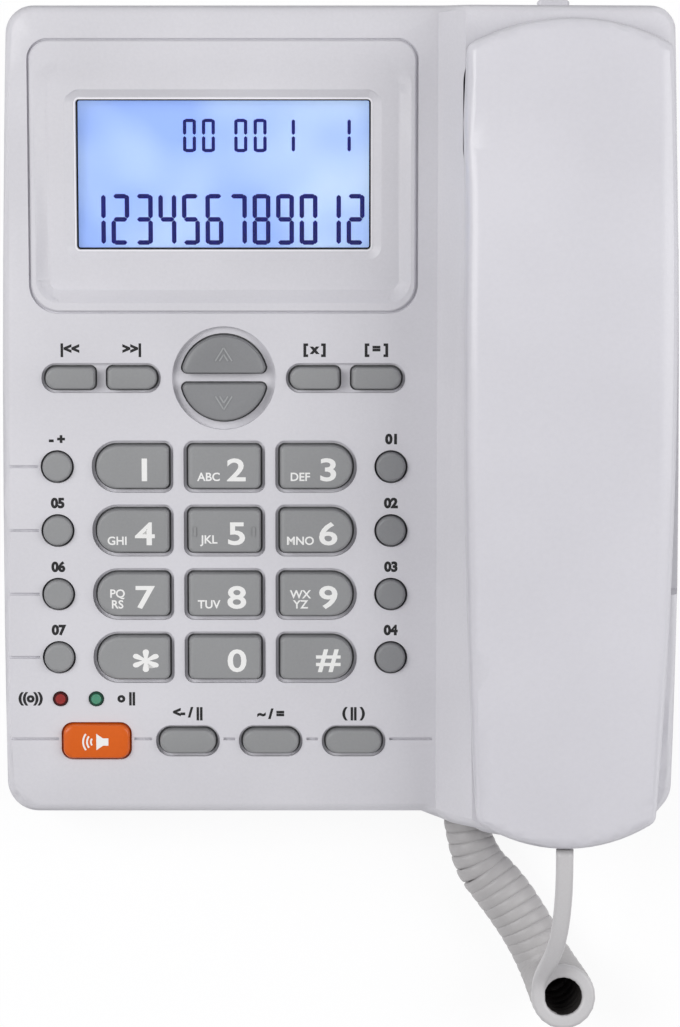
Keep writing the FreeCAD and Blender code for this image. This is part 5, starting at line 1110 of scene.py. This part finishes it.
@dataclass
class KeyField:
    """The keys, their white numbers and letters, and the marks beside them."""

    shop: Workshop
    columns: tuple[float, ...] = (-52.9, -29.5, -6.1)
    rows: tuple[float, ...] = (89.7, 73.25, 56.8, 40.35)
    cap_top: float = 1.6
    deeper: tuple[str, ...] = (
        "up_key", "down_key", "memory_key_1", "memory_key_2", "memory_key_3", "memory_key_4"
    )
    loose: float = 0.22
    loose_from: float = 0.0
    digit_size: Pair = (5.7, 0.15)
    digit_stretch: float = 1.26
    star_share: float = 1.5
    digit_at: Pair = (3.1, -0.6)
    letter_size: Pair = (2.1, 0.06)
    letter_at: Pair = (-4.0, -2.4)
    letter_line: float = 2.6
    mark_size: Pair = (2.4, 0.2)
    mark_rise: float = 7.1
    print_thick: float = 0.03
    signs: tuple[tuple[str, tuple[str, ...]], ...] = (
        ("1", ()), ("2", ("ABC",)), ("3", ("DEF",)), ("4", ("GHI",)), ("5", ("JKL",)), ("6", ("MNO",)),
        ("7", ("RS", "PQ")), ("8", ("TUV",)), ("9", ("YZ", "WX")), ("star", ()), ("0", ()), ("hash", ()),
    )
    caps: tuple[tuple[str, str, float, float], ...] = (
        ("volume_key", "- +", -72.1, 89.7), ("memory_key_5", "05", -72.1, 73.25),
        ("memory_key_6", "06", -72.1, 56.8), ("memory_key_7", "07", -72.1, 40.35),
        ("memory_key_1", "01", 13.0, 89.7), ("memory_key_2", "02", 13.0, 73.25),
        ("memory_key_3", "03", 13.0, 56.8), ("memory_key_4", "04", 13.0, 40.35),
        ("back_key", "|<<", -68.55, 112.4), ("out_key", ">>|", -52.85, 112.4),
        ("delete_key", "[ x ]", -6.45, 112.4), ("memo_key", "[ = ]", 9.25, 112.4),
        ("redial_key", "<- / ||", -39.2, 18.5), ("flash_key", "~ / =", -17.85, 18.5),
        ("hold_key", "( || )", 3.5, 18.5),
        ("up_key", "", -29.5, 112.4), ("down_key", "", -29.5, 112.4),
    )
    lamp_marks: tuple[tuple[str, str, float, float], ...] = (
        ("ring", "((o))", -79.6, 29.5), ("use", "o ||", -55.0, 29.5),
    )
    nav_at: Pair = (-29.5, 112.4)
    chevron_out: float = 6.2
    chevron_size: Pair = (4.2, 3.4)
    chevron_shares: tuple[float, ...] = (1.0, 0.5)
    ridge: Pair = (0.34, 0.16)
    dot_out: float = 7.5
    dot_size: Triple = (2.5, 0.7, 0.3)
    dot_taper: float = 3.0
    speaker_at: Pair = (-62.7, 18.5)
    icon_box: Pair = (1.4, 1.9)
    icon_horn: Pair = (1.7, 4.3)
    icon_waves: tuple[float, ...] = (1.4, 2.4, 3.4)
    wave_stroke: float = 0.45
    wave_spread: float = 76.0
    wave_steps: int = 10

    def loosen(self, cap: Object, middle: Pair) -> None:
        """Draw in the sides of a cap a little, so that the gap round it reads as a dark line.

        Args:
            cap: The cap.
            middle: Its place across and along the deck.
        """
        into = DECK.into(*middle)
        spots = [into @ vert.co for vert in cap.data.vertices]
        across = max(abs(spot.x) for spot in spots if spot.z > self.loose_from)
        along = max(abs(spot.y) for spot in spots if spot.z > self.loose_from)
        shares = (1 - self.loose / across, 1 - self.loose / along)
        self.shop.shrink_above(cap, middle, shares, self.loose_from)

    def place_words(self, title: str, words: str, size: Pair, place: Matrix, body: str) -> None:
        """Print words in white on a key, or in black on the base.

        Args:
            title: The piece's name.
            words: The characters.
            size: The letters' height and the extra weight of their strokes.
            place: Where their middle goes.
            body: The body they move with.
        """
        mesh = mesh_from(text_bmesh(words, *size, self.print_thick), place)
        if body == "base":
            self.shop.piece(title, mesh, Finish.INK_BLACK, body, "white_plastic")
        else:
            self.shop.piece(title, mesh, Finish.INK_WHITE, body, "grey_plastic")

    def print_keypad(self) -> None:
        """Finish the twelve keypad caps and print their numbers and letters."""
        sign_of = {"star": "*", "hash": "#"}
        for number, (name, lines) in enumerate(self.signs):
            node = "key_" + name
            body = self.shop.body_of(node)
            cap = self.shop.smooth_copy(node, "cap_" + name, Finish.GREY, "grey_plastic")
            row, column = divmod(number, len(self.columns))
            across, along = self.columns[column], self.rows[row]
            self.loosen(cap, (across, along))
            place = DECK.at(across + self.digit_at[0], along + self.digit_at[1], self.cap_top)
            place = place @ Matrix.Diagonal((self.digit_stretch, 1, 1, 1))
            if name == "star":
                place = place @ Matrix.Scale(self.star_share, 4)
            sign = sign_of.get(name, name)
            self.place_words("digit_" + name, sign, self.digit_size, place, body)
            for line, letters in enumerate(lines):
                level = along + self.letter_at[1] + line * self.letter_line
                place = DECK.at(across + self.letter_at[0], level, self.cap_top)
                title = f"letters_{name}_{line + 1}"
                self.place_words(title, letters, self.letter_size, place, body)

    def add_ridges(self) -> None:
        """Mould the arrows on the half-round keys and the two bars on the middle key."""
        wide, tall = self.chevron_size
        stroke, proud = self.ridge
        slant = math.degrees(math.atan2(tall, wide / 2))
        length = math.hypot(tall, wide / 2)
        for node, sign in (("up_key", 1), ("down_key", -1)):
            work = bmesh.new()
            foot = self.nav_at[1] + sign * self.chevron_out - sign * tall / 2
            for share in self.chevron_shares:
                for side in (1, -1):
                    half = foot + sign * share * tall / 2
                    place = DECK.at(self.nav_at[0] + side * share * wide / 4, half, self.cap_top)
                    turn = Matrix.Rotation(math.radians(-sign * side * slant), 4, "Z")
                    add_bar(work, share * length, stroke, proud, place @ turn)
            body = self.shop.body_of(node)
            # The raised arrows take a lighter grey: a painted highlight.
            self.shop.piece("arrow_" + node, mesh_from(work), Finish.GREY_HIGHLIT, body, "grey_plastic")
        work = bmesh.new()
        tall, wide, proud = self.dot_size
        for side in (1, -1):
            place = DECK.at(self.columns[1] + side * self.dot_out, self.rows[1], self.cap_top)
            add_bar(work, wide, tall, proud, place, point=wide / self.dot_taper)
        body = self.shop.body_of("key_5")
        self.shop.piece("bars_key_5", mesh_from(work), Finish.GREY, body, "grey_plastic")

    def add_speaker_icon(self) -> None:
        """Print the loudspeaker with its waves on the orange key."""
        work = bmesh.new()
        across, along = self.speaker_at
        length, tall = self.icon_box
        horn, mouth = self.icon_horn
        place = DECK.at(across + horn + length / 2, along, self.cap_top)
        add_bar(work, length, tall, self.print_thick, place)
        size = Matrix.Diagonal((horn, mouth, self.print_thick, 1))
        verts = bmesh.ops.create_cube(work, size=1.0, matrix=size)["verts"]
        narrow = [vert for vert in verts if vert.co.x > 0]
        bmesh.ops.scale(work, vec=(1, tall / mouth, 1), verts=narrow)
        bmesh.ops.transform(work, matrix=DECK.at(across + horn / 2, along, self.cap_top), verts=verts)
        start = Matrix.Rotation(math.radians(180 - self.wave_spread / 2), 4, "Z")
        for radius in self.icon_waves:
            before = set(work.faces)
            ends = []
            for reach in (radius - self.wave_stroke / 2, radius + self.wave_stroke / 2):
                ends += bmesh.ops.create_vert(work, co=start @ Vector((reach, 0, 0)))["vert"]
            bmesh.ops.spin(
                work, geom=[*ends, work.edges.new(ends)], cent=(0, 0, 0), axis=(0, 0, 1),
                angle=math.radians(self.wave_spread), steps=self.wave_steps, use_duplicate=False,
            )
            flat = [face for face in work.faces if face not in before]
            lifted = only(bmesh.ops.extrude_face_region(work, geom=flat)["geom"], BMVert)
            bmesh.ops.translate(work, vec=(0, 0, self.print_thick / 2), verts=lifted)
            whole = {vert for face in flat for vert in face.verts} | set(lifted)
            bmesh.ops.transform(work, matrix=DECK.at(across, along, self.cap_top), verts=list(whole))
        body = self.shop.body_of("speaker_key")
        self.shop.piece("icon_speaker", mesh_from(work), Finish.INK_WHITE, body, "orange_plastic")

    def build(self) -> None:
        """Finish every key and print its marks."""
        self.print_keypad()
        for node, sign, across, along in self.caps:
            choice = Finish.GREY_DEEP if node in self.deeper else Finish.GREY
            cap = self.shop.smooth_copy(node, "cap_" + node, choice, "grey_plastic")
            self.loosen(cap, (across, along))
            if sign:
                place = DECK.at(across, along + self.mark_rise, 0)
                self.place_words("mark_" + node, sign, self.mark_size, place, "base")
        for name, sign, across, along in self.lamp_marks:
            place = DECK.at(across, along, 0)
            self.place_words(f"mark_{name}_lamp", sign, self.mark_size, place, "base")
        # The orange key carries a faint painted glow.
        cap = self.shop.smooth_copy("speaker_key", "cap_speaker", Finish.ORANGE, "orange_plastic")
        self.loosen(cap, self.speaker_at)
        self.add_ridges()
        self.add_speaker_icon()


@dataclass
class Housing:
    """The base's shells, lamps, feet and sockets."""

    shop: Workshop
    rear_draw: float = 1.3
    rear_zone: Limits = ((0, 27.0, 7.0), (1, 96.0, 8.0), (2, 15.0, 30.0))
    knob_draw: float = 1.0
    pad_level: float = -4.5
    pad_drop: float = 1.2
    sunk_levels: tuple[Pair, ...] = ((-0.7, 0.7), (-0.4, 0.6))
    sunk_band: float = 0.06
    sunk_area: Pair = (25.0, 130.0)
    # Dark rings round the two lamps: painted shade at the edges of their domes.
    lamp_rims: tuple[Ring, ...] = (
        Ring(
            "ring_led_rim", Finish.RED_RIM_SHADE, "red_lamp", (-71.9, 29.5), (3.5, 3.5),
            corner=1.72, stroke=0.5, height=0.45, level=0.0,
        ),
        Ring(
            "use_led_rim", Finish.GREEN_RIM_SHADE, "green_lamp", (-62.7, 29.5), (3.5, 3.5),
            corner=1.72, stroke=0.5, height=0.45, level=0.0,
        ),
    )
    side_zone: Limits = ((0, 80.0, 4.0),)
    side_rows: Pair = (-43.3, 42.0)
    side_levels: Triple = (-10.0, 2.5, 4.5)
    side_out: float = 0.45
    side_in: float = 0.6
    taper_in: float = 0.43
    taper: float = 0.0135
    corner_back: float = 2.0
    corner_zone: Limits = ((0, 55.0, 25.0), (1, -85.0, -12.0))
    lean: float = 2.6
    lean_zone: Limits = ((1, -30.0, -65.0), (0, 25.0, 5.0), (0, 37.0, -4.5))

    def sink_pads(self, place: Vector) -> Vector:
        """Return how far a corner of the keypad's rubber sinks, so that the keys have room to move."""
        return DECK.down(0.0 if DECK.spot(place).z < self.pad_level else self.pad_drop)

    def sink_recess(self, place: Vector) -> Vector:
        """Sink a recess or a moulded line, so that it reads darker.

        Args:
            place: A corner's place.

        Returns:
            How far it moves.
        """
        spot = DECK.spot(place)
        if spot.x > self.sunk_area[0] or spot.y > self.sunk_area[1]:
            return Vector()
        drops = [drop for level, drop in self.sunk_levels if abs(spot.z - level) < self.sunk_band]
        return DECK.down(sum(drops))

    def trim_side(self, place: Vector) -> Vector:
        """Trim the right side, so that it tapers smoothly to the front.

        Args:
            place: A corner's place.

        Returns:
            How far it moves.
        """
        level = DECK.spot(place).z
        floor, top, span = self.side_levels
        if level < floor:
            return Vector()
        share = inside(place, self.side_zone)
        low = rise(level, top, -span)
        front, rear = self.side_rows
        inwards = 0.0
        if place.y < front:
            inwards = self.taper_in + self.taper * (front - place.y)
        elif place.y > rear:
            inwards = self.side_in
        back = inside(place, self.corner_zone) * (1 - low)
        return Vector((share * (self.side_out * low - inwards * (1 - low)), self.corner_back * back, 0))

    def lean_strip(self, place: Vector) -> Vector:
        """Lean the cradle's left edge to the handset towards the front.

        Args:
            place: A corner's place.

        Returns:
            How far it moves.
        """
        if DECK.spot(place).z < self.side_levels[1]:
            return Vector()
        return Vector((self.lean * inside(place, self.lean_zone), 0, 0))

    def draw_rear(self, place: Vector) -> Vector:
        """Return how far a corner of the deck's rear edge is drawn in beside the handset."""
        return Vector((0, -self.rear_draw * inside(place, self.rear_zone), 0))

    def build(self) -> None:
        """Finish the base."""
        deck = self.shop.smooth_copy("top_housing", "deck_shell", Finish.WHITE, "white_plastic")
        for rule in (self.sink_recess, self.draw_rear, self.trim_side, self.lean_strip):
            self.shop.nudge(deck, rule)
        mat = self.shop.smooth_copy("keypad_membrane", "key_mat", Finish.SILICONE, "keypad_rubber")
        self.shop.nudge(mat, self.sink_pads)
        knob = self.shop.smooth_copy("ringer_knob", "ringer_cap", Finish.WHITE, "white_plastic")
        self.shop.nudge(knob, lambda place: Vector((0, -self.knob_draw, 0)))
        self.shop.smooth_copy("bottom_housing", "tray_shell", Finish.WHITE, "white_plastic")
        for rim in self.lamp_rims:
            rim.build(self.shop)
        self.shop.paint_nodes({
            "rubber_feet": Finish.RUBBER, "housing_screws": Finish.STEEL, "main_board": Finish.BOARD,
            "ring_led": Finish.RED, "use_led": Finish.GREEN, "hook_plunger": Finish.WHITE,
            "hook_switch": Finish.NYLON, "ringer_switch": Finish.NYLON, "line_jack": Finish.NYLON,
            "loudspeaker": Finish.NYLON, "handset_jack": Finish.NYLON, "base_plug": Finish.PLUG,
        })


@dataclass
class Handset:
    """The handset's two shells and what they hold."""

    shop: Workshop
    widen: float = 1.15
    widen_zone: Limits = ((0, 46.0, -14.0), (1, 45.0, 35.0), (1, 98.0, -9.0))
    shorten: float = 1.0
    shorten_zone: Limits = ((1, -60.0, -50.0),)

    def ease(self, place: Vector) -> Vector:
        """Return how far a corner of a shell moves: out at the rear left, in at the front."""
        out = self.widen * inside(place, self.widen_zone)
        return Vector((-out, self.shorten * inside(place, self.shorten_zone), 0))

    def build(self) -> None:
        """Finish the handset."""
        for node, title in (("handset_back", "grip_shell"), ("handset_face", "face_shell")):
            shell = self.shop.smooth_copy(node, title, Finish.SHELL, "white_plastic")
            self.shop.nudge(shell, self.ease)
        socket = self.shop.smooth_copy("handset_socket", "socket_block", Finish.NYLON, "dark_plastic")
        self.shop.nudge(socket, self.ease)
        self.shop.paint_nodes(
            {"handset_screws": Finish.STEEL, "receiver": Finish.NYLON, "microphone": Finish.NYLON}
        )


def main() -> None:
    """Build the telephone, piece by piece."""
    logging.basicConfig(level=logging.INFO, format="%(name)s: %(message)s")
    shop = Workshop()
    Studio(bpy.context.scene).build()
    for assembly in (CurlyCord, Housing, Display, KeyField, Handset):
        assembly(shop).build()


if __name__ == "__main__":
    main()
